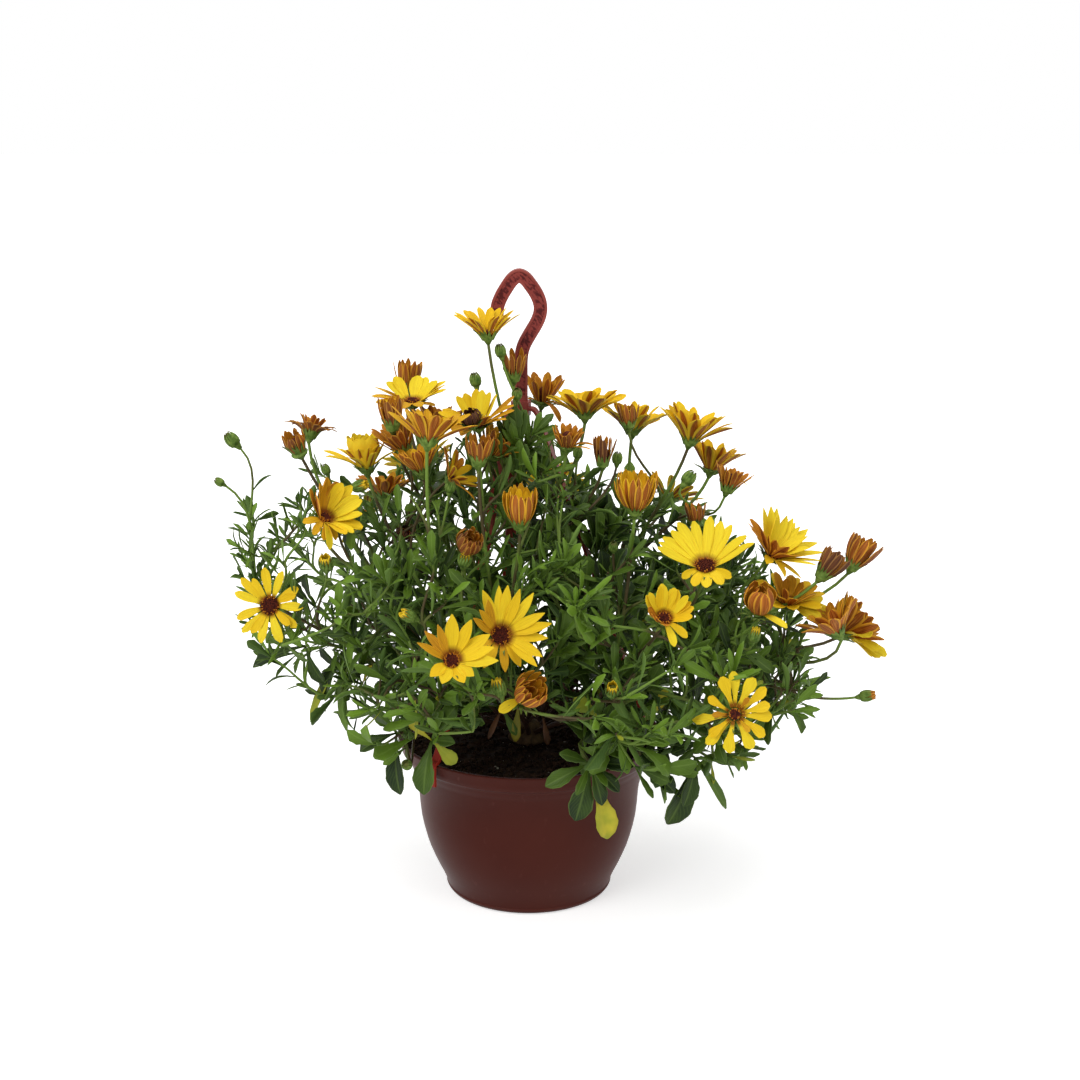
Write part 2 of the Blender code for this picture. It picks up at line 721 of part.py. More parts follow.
def grow_leaves(mesh, route, owner, count, lengths, dice, shares):
    """Leaves in a spiral up a stem, each turned on until it finds room, and left out if it finds none."""
    turn = dice.uniform(0, 2 * math.pi)
    for k in range(count):
        share = shares[0] + (shares[1] - shares[0]) * (k + 0.5) / count
        spot = min(share * (len(route) - 1), len(route) - 1.001)
        low = int(spot)
        base = route[low].lerp(route[low + 1], spot - low)
        along = (route[low + 1] - route[low]).normalized()
        side = along.orthogonal().normalized()
        other = along.cross(side)
        for attempt in range(LEAF_TRIES):
            turn += GOLDEN_ANGLE if attempt == 0 else 0.7
            length = dice.uniform(*lengths) * (1 - 0.06 * attempt)
            outward = side * math.cos(turn) + other * math.sin(turn)
            direction = (outward * 0.85 + along * 0.55 + Vector((0, 0, 0.12))).normalized()
            tip = base + direction * length
            width = length * LEAF_WIDTH
            if leaf_room(base, tip, width, owner):
                leaf(mesh, base, tip, width, (outward * -0.5 + along).normalized())
                obstacles.add(base.lerp(tip, 0.3), tip, width * 0.8, owner)
                break


def note_stem(route, radius, owner):
    for a, b in zip(route, route[1:]):
        obstacles.add(a, b, radius, owner)


def make_branches():
    routes = plan_stems()
    for order, (name, (facet, _, _, _, _)) in enumerate(BRANCHES.items()):
        dice = random.Random(40 + order)
        trunk, sides = routes[name]
        main = bmesh.new()
        tube(main, trunk, (MAIN_RADIUS, MAIN_RADIUS * 0.8), 5, leaving=crown_seat(facet)[1])
        branch = add_object(name, main, "branch")
        grown = bmesh.new()
        grow_leaves(grown, trunk, name, 2, (0.026, 0.036), dice, (0.45, 0.95))
        for kind, route, axis in sides:
            inside = trunk[-1] - (trunk[-1] - trunk[-2]).normalized() * 0.0015
            tube(grown, [inside, *route[1:]], (SIDE_RADIUS * 1.15, SIDE_RADIUS), 4, arriving=axis)
            if kind == "bud":
                add_bud(grown, route)
            count, lengths, shares = LEAVES[kind]
            grow_leaves(grown, route, name, count, lengths, dice, shares)
        cut_with(branch, grown, name + "_join", "UNION")


def add_bud(mesh, route):
    """A small shut bud on the end of its stem."""
    along = (route[-1] - route[-2]).normalized()
    turned_to = along.to_track_quat("Z", "Y").to_matrix().to_4x4()
    place = Matrix.Translation(route[-1] - along * 0.002) @ turned_to
    foot, belly, length = SMALL_BUD
    rings = [ring(foot, 0.0, 5, 0.3), ring(belly, belly, 5, 0.3)]
    lofted(mesh, [[place @ p for p in level] for level in rings], last_tip=place @ Vector((0, 0, length)))


def plan_stems():
    """Every stem's route, main stems first, each settled clear of what came before it."""
    routes = {}
    for name, (facet, fork, _, _, _) in BRANCHES.items():
        start, leaving = crown_seat(facet)
        fork = Vector(fork)
        reach = (fork - start).length
        arriving = (fork - start).normalized() * 0.6 + Vector((0, 0, 0.4))
        route = bezier(start, start + leaving * reach * 0.3, fork - arriving * reach * 0.3, fork, 5)
        route = settled(route, MAIN_RADIUS, name, 1, 0)
        note_stem(route, MAIN_RADIUS, name)
        routes[name] = (route, [])
    for name, (_, _, flowers, buds, shoots) in BRANCHES.items():
        trunk, sides = routes[name]
        fork = trunk[-1]
        onward = (trunk[-1] - trunk[-2]).normalized()
        goals = []
        for number in flowers:
            place, tilt, compass, _, _ = FLOWERS["flower_" + number]
            axis = axis_of(tilt, compass)
            goals.append(("flower", Vector(place) - axis * (RECEPTACLE + GAP), axis))
        goals += [("bud", Vector(p), Vector((p[0], p[1], 0.25)).normalized()) for p in buds]
        goals += [("shoot", Vector(p), (Vector(p) - fork).normalized()) for p in shoots]
        for kind, goal, axis in goals:
            reach = (goal - fork).length
            bend = {"flower": 0.38, "bud": 0.30, "shoot": 0.25}[kind]
            route = bezier(fork, fork + onward * reach * 0.22, goal - axis * reach * bend, goal, 4)
            route = settled(route, SIDE_RADIUS, name, 1, 1)
            note_stem(route, SIDE_RADIUS, name)
            sides.append((kind, route, axis))
    return routes


def main():
    clear_scene()
    make_pot()
    make_soil()
    make_crown()
    make_hook()
    make_straps()
    note_pot()
    note_hanger()
    make_flowers()
    make_branches()


main()
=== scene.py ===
import math
import random

import bmesh
import bpy
import numpy as np
from mathutils import Matrix, Vector, noise


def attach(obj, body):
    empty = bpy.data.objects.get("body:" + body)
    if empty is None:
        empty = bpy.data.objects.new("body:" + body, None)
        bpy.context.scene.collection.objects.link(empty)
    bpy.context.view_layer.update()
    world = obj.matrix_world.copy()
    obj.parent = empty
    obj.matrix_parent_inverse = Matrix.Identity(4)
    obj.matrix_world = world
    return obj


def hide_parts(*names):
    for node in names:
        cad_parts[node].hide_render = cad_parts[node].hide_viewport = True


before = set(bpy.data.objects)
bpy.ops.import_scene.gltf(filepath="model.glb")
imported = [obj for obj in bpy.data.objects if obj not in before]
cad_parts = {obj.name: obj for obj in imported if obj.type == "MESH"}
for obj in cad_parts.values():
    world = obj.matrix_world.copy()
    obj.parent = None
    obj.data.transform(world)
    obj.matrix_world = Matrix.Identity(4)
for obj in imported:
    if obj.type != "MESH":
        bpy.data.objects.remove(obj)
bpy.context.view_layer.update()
print("frame loaded:", len(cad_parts), "nodes")


# small helpers

def srgb(red, green, blue):
    # a colour as a paint program gives it, made linear
    def linear(c):
        c /= 255
        return c / 12.92 if c < 0.04045 else ((c + 0.055) / 1.055) ** 2.4

    return (linear(red), linear(green), linear(blue), 1)


def leaning(tilt, compass):
    # unit vector that leans from upright by tilt towards compass
    lean, turn = math.radians(tilt), math.radians(compass)
    return Vector((math.sin(lean) * math.cos(turn), math.sin(lean) * math.sin(turn), math.cos(lean)))


def millimetres(x, y, z):
    return Vector((x / 1000, y / 1000, z / 1000))


def bezier(a, b, c, d, count):
    points = []
    for k in range(count + 1):
        t = k / count
        s = 1 - t
        points.append(a * s**3 + b * (3 * s * s * t) + c * (3 * s * t * t) + d * t**3)
    return points


def linked(name, data):
    thing = bpy.data.objects.new(name, data)
    bpy.context.scene.collection.objects.link(thing)
    return thing


def setMaterial(verts, index):
    for face in {face for vert in verts for face in vert.link_faces}:
        face.material_index = index


def addPiece(name, bm, materials, replaced, smoothAngle):
    # turns a bmesh into a finished piece that rides on the root body
    bmesh.ops.recalc_face_normals(bm, faces=bm.faces[:])
    mesh = bpy.data.meshes.new(name)
    bm.to_mesh(mesh)
    bm.free()
    for material in materials:
        mesh.materials.append(material)
    mesh.shade_smooth()
    mesh.set_sharp_from_angle(angle=math.radians(smoothAngle))
    piece = linked(name, mesh)
    finishPiece(piece, replaced)
    return piece


def finishPiece(piece, replaced):
    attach(piece, "root")
    if replaced:
        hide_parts(*replaced)


# materials

def newMaterial(name, roughness, colour=(0.5, 0.5, 0.5, 1), shine=0.15):
    material = bpy.data.materials.new(name)
    material.use_nodes = True
    shader = material.node_tree.nodes["Principled BSDF"]
    shader.inputs["Roughness"].default_value = roughness
    shader.inputs["Base Color"].default_value = colour
    shader.inputs["Specular IOR Level"].default_value = shine
    return material, material.node_tree, shader


def socketOf(tree, node, socket):
    # links a colour, a number or another node's output into a socket
    if isinstance(node, bpy.types.NodeSocket):
        tree.links.new(node, socket)
    else:
        socket.default_value = node


def mixed(tree, factor, a, b):
    node = tree.nodes.new("ShaderNodeMix")
    node.data_type = "RGBA"
    socketOf(tree, factor, node.inputs[0])
    socketOf(tree, a, node.inputs[6])
    socketOf(tree, b, node.inputs[7])
    return node.outputs[2]


def ranged(tree, value, low, high, toLow=0.0, toHigh=1.0):
    node = tree.nodes.new("ShaderNodeMapRange")
    socketOf(tree, value, node.inputs["Value"])
    node.inputs["From Min"].default_value = low
    node.inputs["From Max"].default_value = high
    node.inputs["To Min"].default_value = toLow
    node.inputs["To Max"].default_value = toHigh
    return node.outputs["Result"]


def computed(tree, operation, a, b=0.0):
    node = tree.nodes.new("ShaderNodeMath")
    node.operation = operation
    socketOf(tree, a, node.inputs[0])
    socketOf(tree, b, node.inputs[1])
    return node.outputs[0]


def noiseOn(tree, vector, scale, detail=3.0, stretch=(1, 1, 1)):
    mapping = tree.nodes.new("ShaderNodeMapping")
    mapping.inputs["Scale"].default_value = stretch
    tree.links.new(vector, mapping.inputs["Vector"])
    node = tree.nodes.new("ShaderNodeTexNoise")
    node.inputs["Scale"].default_value = scale
    node.inputs["Detail"].default_value = detail
    tree.links.new(mapping.outputs["Vector"], node.inputs["Vector"])
    return node.outputs["Fac"]


def bumped(tree, shader, height, strength, distance):
    node = tree.nodes.new("ShaderNodeBump")
    node.inputs["Strength"].default_value = strength
    node.inputs["Distance"].default_value = distance
    tree.links.new(height, node.inputs["Height"])
    tree.links.new(node.outputs["Normal"], shader.inputs["Normal"])


def painted(tree, shader, colour):
    tree.links.new(colour, shader.inputs["Base Color"])


def objectPlace(tree):
    return tree.nodes.new("ShaderNodeTexCoord").outputs["Object"]


def heightOf(tree, place):
    parts = tree.nodes.new("ShaderNodeSeparateXYZ")
    tree.links.new(place, parts.inputs[0])
    return parts.outputs["Z"]


def uvParts(tree):
    # across and along the surface, each from 0 to 1
    uv = tree.nodes.new("ShaderNodeUVMap").outputs["UV"]
    parts = tree.nodes.new("ShaderNodeSeparateXYZ")
    tree.links.new(uv, parts.inputs[0])
    return parts.outputs["X"], parts.outputs["Y"]


def streaksOn(tree, across, along, seed, fineness):
    # lines that run along a petal and differ from one petal to the next
    parts = tree.nodes.new("ShaderNodeCombineXYZ")
    for value, socket in zip((across, along, seed), parts.inputs):
        socketOf(tree, value, socket)
    return noiseOn(tree, parts.outputs[0], 1.0, 2, (fineness, 1.4, 37))


def attributeOf(tree, name):
    node = tree.nodes.new("ShaderNodeAttribute")
    node.attribute_name = name
    return node.outputs["Fac"]


def potMaterial():
    material, tree, shader = newMaterial("potPlastic", 0.40, shine=0.08)
    place = objectPlace(tree)
    cloud = ranged(tree, noiseOn(tree, place, 9.0, 4), 0.35, 0.7)
    colour = mixed(tree, cloud, srgb(74, 31, 24), srgb(82, 38, 30))
    # pale scuffs all over the pot, and far more of the pale colour on the rim band above 130 mm, where it
    # is a painted highlight for the band catching the light
    scuffs = ranged(tree, noiseOn(tree, place, 150.0, 5, (1, 1, 0.35)), 0.64, 0.80)
    wearAndBandHighlight = ranged(tree, heightOf(tree, place), 0.126, 0.130, 0.12, 0.42)
    colour = mixed(tree, computed(tree, "MULTIPLY", scuffs, wearAndBandHighlight), colour, srgb(140, 92, 86))
    painted(tree, shader, colour)
    tree.links.new(ranged(tree, cloud, 0, 1, 0.36, 0.46), shader.inputs["Roughness"])
    bumped(tree, shader, noiseOn(tree, place, 900.0, 2), 0.10, 0.0004)
    return material


def hangerMaterial():
    # paler where it was handled; redder towards the clips at the rim, painted light, as the same plastic
    # looks where the clips are brightly lit
    material, tree, shader = newMaterial("hangerPlastic", 0.42)
    place = objectPlace(tree)
    cloud = noiseOn(tree, place, 40.0, 3)
    colour = mixed(tree, ranged(tree, cloud, 0.3, 0.7), srgb(130, 54, 47), srgb(154, 76, 68))
    # painted light: below 200 mm the straps and clips are painted a brighter red for the bright light on
    # them, blending into the hook's colour by 400 mm
    colour = mixed(tree, ranged(tree, heightOf(tree, place), 0.2, 0.4), srgb(152, 42, 28), colour)
    painted(tree, shader, colour)
    bumped(tree, shader, noiseOn(tree, place, 700.0, 2), 0.12, 0.0003)
    return material


def channelMaterial():
    # the recess of the hook, with dark oblique flecks of painted shadow, as small ribs in the channel would
    # cast
    material, tree, shader = newMaterial("hangerRecess", 0.5)
    place = objectPlace(tree)
    turned = tree.nodes.new("ShaderNodeMapping")
    turned.inputs["Rotation"].default_value = (0, 0.7, 0)
    tree.links.new(place, turned.inputs["Vector"])
    ribShadows = ranged(tree, noiseOn(tree, turned.outputs["Vector"], 560.0, 3, (1, 1, 0.45)), 0.46, 0.58)
    colour = mixed(tree, ribShadows, srgb(138, 60, 54), srgb(78, 24, 24))
    painted(tree, shader, colour)
    return material


def soilMaterial():
    material, tree, shader = newMaterial("peatMix", 0.95)
    place = objectPlace(tree)
    clump = noiseOn(tree, place, 160.0, 5)
    colour = mixed(tree, ranged(tree, clump, 0.3, 0.7), srgb(14, 10, 9), srgb(64, 45, 33))
    painted(tree, shader, colour)
    bumped(tree, shader, noiseOn(tree, place, 700.0, 4), 0.6, 0.0012)
    return material


def grainMaterial():
    material, tree, shader = newMaterial("whiteGrain", 0.85)
    place = objectPlace(tree)
    colour = mixed(tree, noiseOn(tree, place, 300.0, 2), srgb(176, 168, 155), srgb(222, 216, 205))
    painted(tree, shader, colour)
    return material


def barkMaterial():
    material, tree, shader = newMaterial("barkBrown", 0.85)
    place = objectPlace(tree)
    grain = noiseOn(tree, place, 220.0, 4, (1, 1, 0.3))
    colour = mixed(tree, ranged(tree, grain, 0.3, 0.7), srgb(70, 52, 38), srgb(124, 100, 72))
    painted(tree, shader, colour)
    bumped(tree, shader, grain, 0.5, 0.0006)
    return material


def stemMaterial():
    # brown near the crown, then green with a purple flush
    material, tree, shader = newMaterial("stemGreen", 0.55)
    place = objectPlace(tree)
    length = tree.nodes.new("ShaderNodeVectorMath")
    length.operation = "DISTANCE"
    length.inputs[1].default_value = (0, 0, 0.14)
    tree.links.new(place, length.inputs[0])
    flush = ranged(tree, noiseOn(tree, place, 16.0, 1), 0.46, 0.58)
    green = mixed(tree, flush, srgb(114, 142, 60), srgb(84, 74, 48))
    woody = ranged(tree, length.outputs["Value"], 0.06, 0.21)
    colour = mixed(tree, woody, srgb(64, 42, 32), green)
    painted(tree, shader, colour)
    return material


def leafMaterials():
    made = []
    greens = ((srgb(13, 33, 8), srgb(106, 140, 38)), (srgb(42, 68, 27), srgb(106, 136, 60)))
    for name, (dark, light) in zip(("leafTop", "leafUnder"), greens):
        material, tree, shader = newMaterial(name, 0.46 if name == "leafTop" else 0.68, shine=0.2)
        across, along = uvParts(tree)
        place = objectPlace(tree)
        tone = attributeOf(tree, "tone")
        cloud = computed(tree, "MULTIPLY", noiseOn(tree, place, 34.0, 2), 0.5)
        # the tone darkens the leaves deep inside the plant, painted shade, and also varies at random from
        # leaf to leaf
        shade = computed(tree, "ADD", computed(tree, "MULTIPLY", tone, 0.75), cloud)
        colour = mixed(tree, ranged(tree, shade, 0.15, 1.0), dark, light)
        rib = computed(tree, "ABSOLUTE", computed(tree, "SUBTRACT", across, 0.5))
        midrib, margin = ranged(tree, rib, 0.0, 0.08, 0.26, 0.0), ranged(tree, rib, 0.44, 0.5, 0.0, 0.30)
        pale = computed(tree, "MAXIMUM", midrib, margin)
        steep = computed(tree, "MULTIPLY", rib, 46.0)
        slant = computed(tree, "SUBTRACT", computed(tree, "MULTIPLY", along, 64.0), steep)
        veins = ranged(tree, computed(tree, "SINE", slant), 0.2, 1.0, 0.0, 0.06)
        pale = computed(tree, "MAXIMUM", pale, veins)
        colour = mixed(tree, pale, colour, srgb(136, 164, 78))
        patch = ranged(tree, noiseOn(tree, place, 60.0, 2), 0.35, 0.6, 0.45, 1.0)
        old = mixed(tree, patch, srgb(122, 142, 40), srgb(196, 184, 54))
        colour = mixed(tree, ranged(tree, tone, 1.4, 2.0), colour, old)
        dry = mixed(tree, patch, srgb(44, 28, 18), srgb(98, 64, 38))
        colour = mixed(tree, ranged(tree, tone, 2.2, 3.0), colour, dry)
        painted(tree, shader, colour)
        bumped(tree, shader, noiseOn(tree, place, 420.0, 2), 0.25, 0.0006)
        made.append(material)
    return made


def petalMaterials():
    # "age" runs from below 0, lemon yellow, over 1, bronze, and 1.4, brown, to 2, withered
    face, tree, shader = newMaterial("petalFace", 0.6)
    across, along = uvParts(tree)
    age = attributeOf(tree, "age")
    lines = ranged(tree, streaksOn(tree, across, along, age, 26), 0.44, 0.66)
    lemon = mixed(tree, ranged(tree, age, 0.0, 0.3), srgb(240, 216, 44), srgb(236, 194, 26))
    fresh = mixed(tree, computed(tree, "MULTIPLY", lines, 0.36), lemon, srgb(204, 146, 20))
    older = mixed(tree, lines, srgb(200, 132, 28), srgb(134, 70, 20))
    colour = mixed(tree, ranged(tree, age, 0.4, 1.0), fresh, older)
    colour = mixed(tree, ranged(tree, along, 0.10, 0.24, 0.9, 0.0), colour, srgb(122, 56, 12))
    colour = mixed(tree, ranged(tree, age, 1.4, 1.9), colour, srgb(58, 30, 26))
    painted(tree, shader, colour)
    bumped(tree, shader, lines, 0.25, 0.0004)

    back, tree, shader = newMaterial("petalBack", 0.6)
    across, along = uvParts(tree)
    age = attributeOf(tree, "age")
    veins = ranged(tree, streaksOn(tree, across, along, age, 22), 0.40, 0.62)
    stripes = streaksOn(tree, across, along, computed(tree, "ADD", age, 3.0), 12)
    pale = ranged(tree, stripes, 0.56, 0.66, 0.0, 0.55)
    middle = computed(tree, "ABSOLUTE", computed(tree, "SUBTRACT", across, 0.5))
    tears = streaksOn(tree, across, along, computed(tree, "ADD", age, 7.0), 6)
    ragged = computed(tree, "MULTIPLY", tears, 0.16)
    taper = computed(tree, "MULTIPLY", along, 0.08)
    reach = computed(tree, "SUBTRACT", ranged(tree, age, -0.2, 0.6, 0.0, 0.44), taper)
    edge = computed(tree, "SUBTRACT", computed(tree, "ADD", middle, ragged), reach)
    band = ranged(tree, edge, -0.02, 0.10, 0.95, 0.0)
    bronze = mixed(tree, veins, srgb(188, 104, 38), srgb(112, 50, 20))
    bronze = mixed(tree, pale, bronze, srgb(210, 148, 74))
    brown = mixed(tree, veins, srgb(112, 66, 38), srgb(56, 28, 20))
    bronze = mixed(tree, ranged(tree, age, 1.0, 1.35), bronze, brown)
    # the yellow margins are the petal's own colour, painted brighter as a painted glow for light shining
    # through the thin petal
    margin = mixed(tree, ranged(tree, age, 0.3, 0.9), srgb(246, 212, 50), srgb(230, 164, 50))
    margin = mixed(tree, ranged(tree, age, 1.0, 1.35), margin, srgb(158, 112, 62))
    colour = mixed(tree, band, margin, bronze)
    colour = mixed(tree, ranged(tree, age, 1.4, 1.9), colour, srgb(58, 30, 26))
    painted(tree, shader, colour)
    bumped(tree, shader, veins, 0.30, 0.0005)
    return face, back


def calyxMaterial():
    material, tree, shader = newMaterial("calyxGreen", 0.6)
    along = uvParts(tree)[1]
    place = objectPlace(tree)
    cloud = ranged(tree, noiseOn(tree, place, 240.0, 2), 0.3, 0.7)
    colour = mixed(tree, cloud, srgb(70, 99, 34), srgb(132, 158, 74))
    colour = mixed(tree, ranged(tree, along, 0.75, 1.0, 0.0, 0.7), colour, srgb(92, 62, 40))
    painted(tree, shader, colour)
    return material


def discMaterials():
    dark, tree, shader = newMaterial("discMaroon", 0.8)
    place = objectPlace(tree)
    florets = ranged(tree, noiseOn(tree, place, 600.0, 2), 0.4, 0.6)
    colour = mixed(tree, florets, srgb(52, 16, 14), srgb(98, 40, 22))
    painted(tree, shader, colour)
    gold, tree, shader = newMaterial("pollenGold", 0.8)
    place = objectPlace(tree)
    colour = mixed(tree, noiseOn(tree, place, 500.0, 2), srgb(150, 78, 22), srgb(206, 136, 34))
    painted(tree, shader, colour)
    return dark, gold


potPlastic = potMaterial()
hangerPlastic = hangerMaterial()
hangerRecess = channelMaterial()
peatMix = soilMaterial()
whiteGrain = grainMaterial()
barkBrown = barkMaterial()
stemGreen = stemMaterial()
leafTop, leafUnder = leafMaterials()
petalFace, petalBack = petalMaterials()
calyxGreen = calyxMaterial()
discMaroon, pollenGold = discMaterials()
headMaterials = (petalFace, petalBack, calyxGreen, discMaroon, pollenGold)
print("materials made")


# pot

pot = {
    "steps": 96,
    "outside": (
        (0.0000, 0.0012), (0.0560, 0.0012), (0.0580, 0.0000), (0.0700, 0.0000), (0.0716, 0.0008),
        (0.0729, 0.0026), (0.0734, 0.0038), (0.0729, 0.0048), (0.0738, 0.0078), (0.0752, 0.0115),
        (0.0770, 0.0160), (0.0812, 0.0245), (0.0850, 0.0330), (0.0882, 0.0410), (0.0910, 0.0500),
        (0.0934, 0.0595), (0.0952, 0.0690), (0.0962, 0.0785), (0.0969, 0.0880), (0.0980, 0.0970),
        (0.0998, 0.1050), (0.1018, 0.1120), (0.1036, 0.1172), (0.1044, 0.1196), (0.1053, 0.1210),
        (0.1070, 0.1250), (0.1078, 0.1268), (0.1090, 0.1280), (0.1106, 0.1287), (0.1116, 0.1300),
        (0.1126, 0.1340), (0.1140, 0.1385), (0.1147, 0.1405), (0.1151, 0.1417), (0.1149, 0.1426),
        (0.1143, 0.1430),
    ),
    "inside": (
        (0.1124, 0.1430), (0.1117, 0.1426), (0.1113, 0.1412), (0.1092, 0.1330), (0.1026, 0.1200),
        (0.0948, 0.0880), (0.0890, 0.0500), (0.0750, 0.0160), (0.0700, 0.0020), (0.0000, 0.0020),
    ),
    "drains": {"count": 6, "circle": 0.0450, "radius": 0.0045},
    "sharp": 30,
}


def turnedShape(profile, steps):
    bm = bmesh.new()
    points = [bm.verts.new((radius, 0, height)) for radius, height in profile]
    edges = [bm.edges.new(pair) for pair in zip(points, points[1:])]
    bmesh.ops.spin(
        bm, geom=points + edges, cent=(0, 0, 0), axis=(0, 0, 1),
        angle=2 * math.pi, steps=steps, use_merge=True,
    )
    bmesh.ops.remove_doubles(bm, verts=bm.verts[:], dist=1e-6)
    return bm


def makePot():
    body = turnedShape(pot["outside"] + pot["inside"], pot["steps"])
    piece = addPiece("hangingPot", body, [potPlastic], ["pot"], pot["sharp"])
    drains = pot["drains"]
    drill = bmesh.new()
    radius, circle = drains["radius"], drains["circle"]
    for k in range(drains["count"]):
        turn = 2 * math.pi * (k + 0.5) / drains["count"]
        bmesh.ops.create_cone(
            drill, cap_ends=True, segments=20, radius1=radius, radius2=radius, depth=0.02,
            matrix=Matrix.Translation((circle * math.cos(turn), circle * math.sin(turn), 0)),
        )
    mesh = bpy.data.meshes.new("drill")
    drill.to_mesh(mesh)
    drill.free()
    cutter = linked("drill", mesh)
    cut = piece.modifiers.new("drains", "BOOLEAN")
    cut.object = cutter
    cut.solver = "EXACT"
    graph = bpy.context.evaluated_depsgraph_get()
    finished = bpy.data.meshes.new_from_object(piece.evaluated_get(graph))
    piece.modifiers.clear()
    piece.data = finished
    bpy.data.objects.remove(cutter)
    finished.set_sharp_from_angle(angle=math.radians(pot["sharp"]))


makePot()
print("pot made")


# soil and crown

soil = {
    "steps": 110,
    "rings": 27,
    "radius": 0.1085,
    "edge": 0.1298,
    "top": 0.1322,
    "riseFrom": 0.108,
    "lumps": 0.0022,
    "lumpScale": 62,
    "under": (
        (0.0, 0.0026), (0.0690, 0.0026), (0.0740, 0.0160),
        (0.0880, 0.0500), (0.0938, 0.0880), (0.1010, 0.1190),
    ),
    "crumbs": {"count": 1500, "reach": 0.105, "lift": 0.25, "sizes": (0.0010, 0.0015, 0.0022, 0.0034)},
    "grains": {"count": 110, "reach": 0.104, "lift": 0.7, "sizes": (0.0004, 0.0005, 0.0007, 0.0011)},
    "seed": 11,
}
stump = {
    "steps": 28,
    "profile": (
        (0.0, 0.1085), (0.0060, 0.1085), (0.0086, 0.1140), (0.0086, 0.1300), (0.0120, 0.1335),
        (0.0165, 0.1350), (0.0178, 0.1375), (0.0165, 0.1410), (0.0120, 0.1465), (0.0080, 0.1520),
        (0.0, 0.1530),
    ),
    "knots": 0.0016,
}


def soilHeight(x, y):
    radius = math.hypot(x, y)
    rise = (soil["top"] - soil["edge"]) * max(0.0, 1 - radius / soil["riseFrom"])
    spot = Vector((x * soil["lumpScale"], y * soil["lumpScale"], 0.3))
    return soil["edge"] + rise + noise.fractal(spot, 0.8, 2.1, 4) * soil["lumps"]


def addStone(bm, place, size, squash, dice):
    # a lump: a small icosphere with its corners moved about
    turn = Matrix.Rotation(dice.uniform(0, 6.28), 3, "Z") @ Matrix.Rotation(dice.uniform(-0.6, 0.6), 3, "X")
    for vert in bmesh.ops.create_icosphere(bm, subdivisions=1, radius=size)["verts"]:
        wobble = 1 + dice.uniform(-0.28, 0.28)
        x, y, z = vert.co
        vert.co = place + turn @ Vector((x * wobble, y * wobble * squash, z * wobble * 0.7))


def stoneSpot(kind, dice):
    # a place on the soil's round top and a size
    radius, turn = kind["reach"] * math.sqrt(dice.random()), dice.uniform(0, 2 * math.pi)
    x, y = radius * math.cos(turn), radius * math.sin(turn)
    size = dice.choice(kind["sizes"])
    return Vector((x, y, soilHeight(x, y) + size * kind["lift"])), size


def makeSoil():
    dice = random.Random(soil["seed"])
    below = 0.127
    top = [(soil["radius"] * (1 - k / (soil["rings"] - 1)), below) for k in range(soil["rings"])]
    bm = turnedShape([*soil["under"], *top], soil["steps"])
    for vert in bm.verts:
        if vert.co.z > below - 0.0005:
            vert.co.z = soilHeight(vert.co.x, vert.co.y)
    for _ in range(soil["crumbs"]["count"]):
        place, size = stoneSpot(soil["crumbs"], dice)
        addStone(bm, place, size, dice.uniform(0.5, 1.0), dice)
    addPiece("pottingSoil", bm, [peatMix], ["soil"], 50)
    bm = bmesh.new()
    for _ in range(soil["grains"]["count"]):
        place, size = stoneSpot(soil["grains"], dice)
        addStone(bm, place, size, 0.9, dice)
    addPiece("whiteGrains", bm, [whiteGrain], [], 50)


def makeCrown():
    bm = turnedShape(stump["profile"], stump["steps"])
    for vert in bm.verts:
        knot = noise.noise(vert.co * 120) * stump["knots"]
        vert.co += Vector((vert.co.x, vert.co.y, 0)).normalized() * knot
    addPiece("crownStump", bm, [barkBrown], ["crown"], 50)


makeSoil()
makeCrown()
print("soil and crown made")


# hanger

hanger = {
    "axisX": -0.0060,
    "hook": {"width": 0.0114, "thick": 0.0062, "channel": 0.0007, "bevel": 0.0005},
    "columns": ((-0.5, 0), (-0.34, 0), (-0.29, 1), (0.29, 1), (0.34, 0), (0.5, 0)),
    "hookRoute": (
        (-0.0260, 0.5120), (-0.0256, 0.5200), (-0.0224, 0.5280), (-0.0175, 0.5362), (-0.0128, 0.5430),
        (-0.0075, 0.5462), (-0.0022, 0.5436), (0.0022, 0.5378), (0.0071, 0.5307), (0.0104, 0.5225),
        (0.0106, 0.5147), (0.0076, 0.5063), (0.0016, 0.4965), (-0.0038, 0.4869), (-0.0060, 0.4770),
        (-0.0060, 0.4600), (-0.0060, 0.4330),
    ),
    "hub": {"low": 0.4268, "high": 0.4392, "radius": 0.0077},
    "straps": {"hanger_strap_front_left": -134, "hanger_strap_right": -14, "hanger_strap_back": 106},
    "strap": {"width": 0.0092, "thick": 0.0024, "bevel": 0.0006},
    "fromHub": ((0.0067, 0.0), (0.0118, -0.0002), (0.0165, -0.0080)),
    "halfway": (0.0600, 0.49),
    "rimTop": 0.1445,
    "overRim": (
        (0.1045, 0.0160), (0.1100, 0.0040), (0.1130, 0.0004),
        (0.1161, 0.0), (0.1173, -0.0030), (0.1171, -0.0200),
    ),
}


def rounded(points, passes):
    # cuts each corner of a route and keeps its ends
    for _ in range(passes):
        cut = [points[0]]
        for a, b in zip(points, points[1:]):
            cut += [a * 0.75 + b * 0.25, a * 0.25 + b * 0.75]
        points = [*cut, points[-1]]
    return points


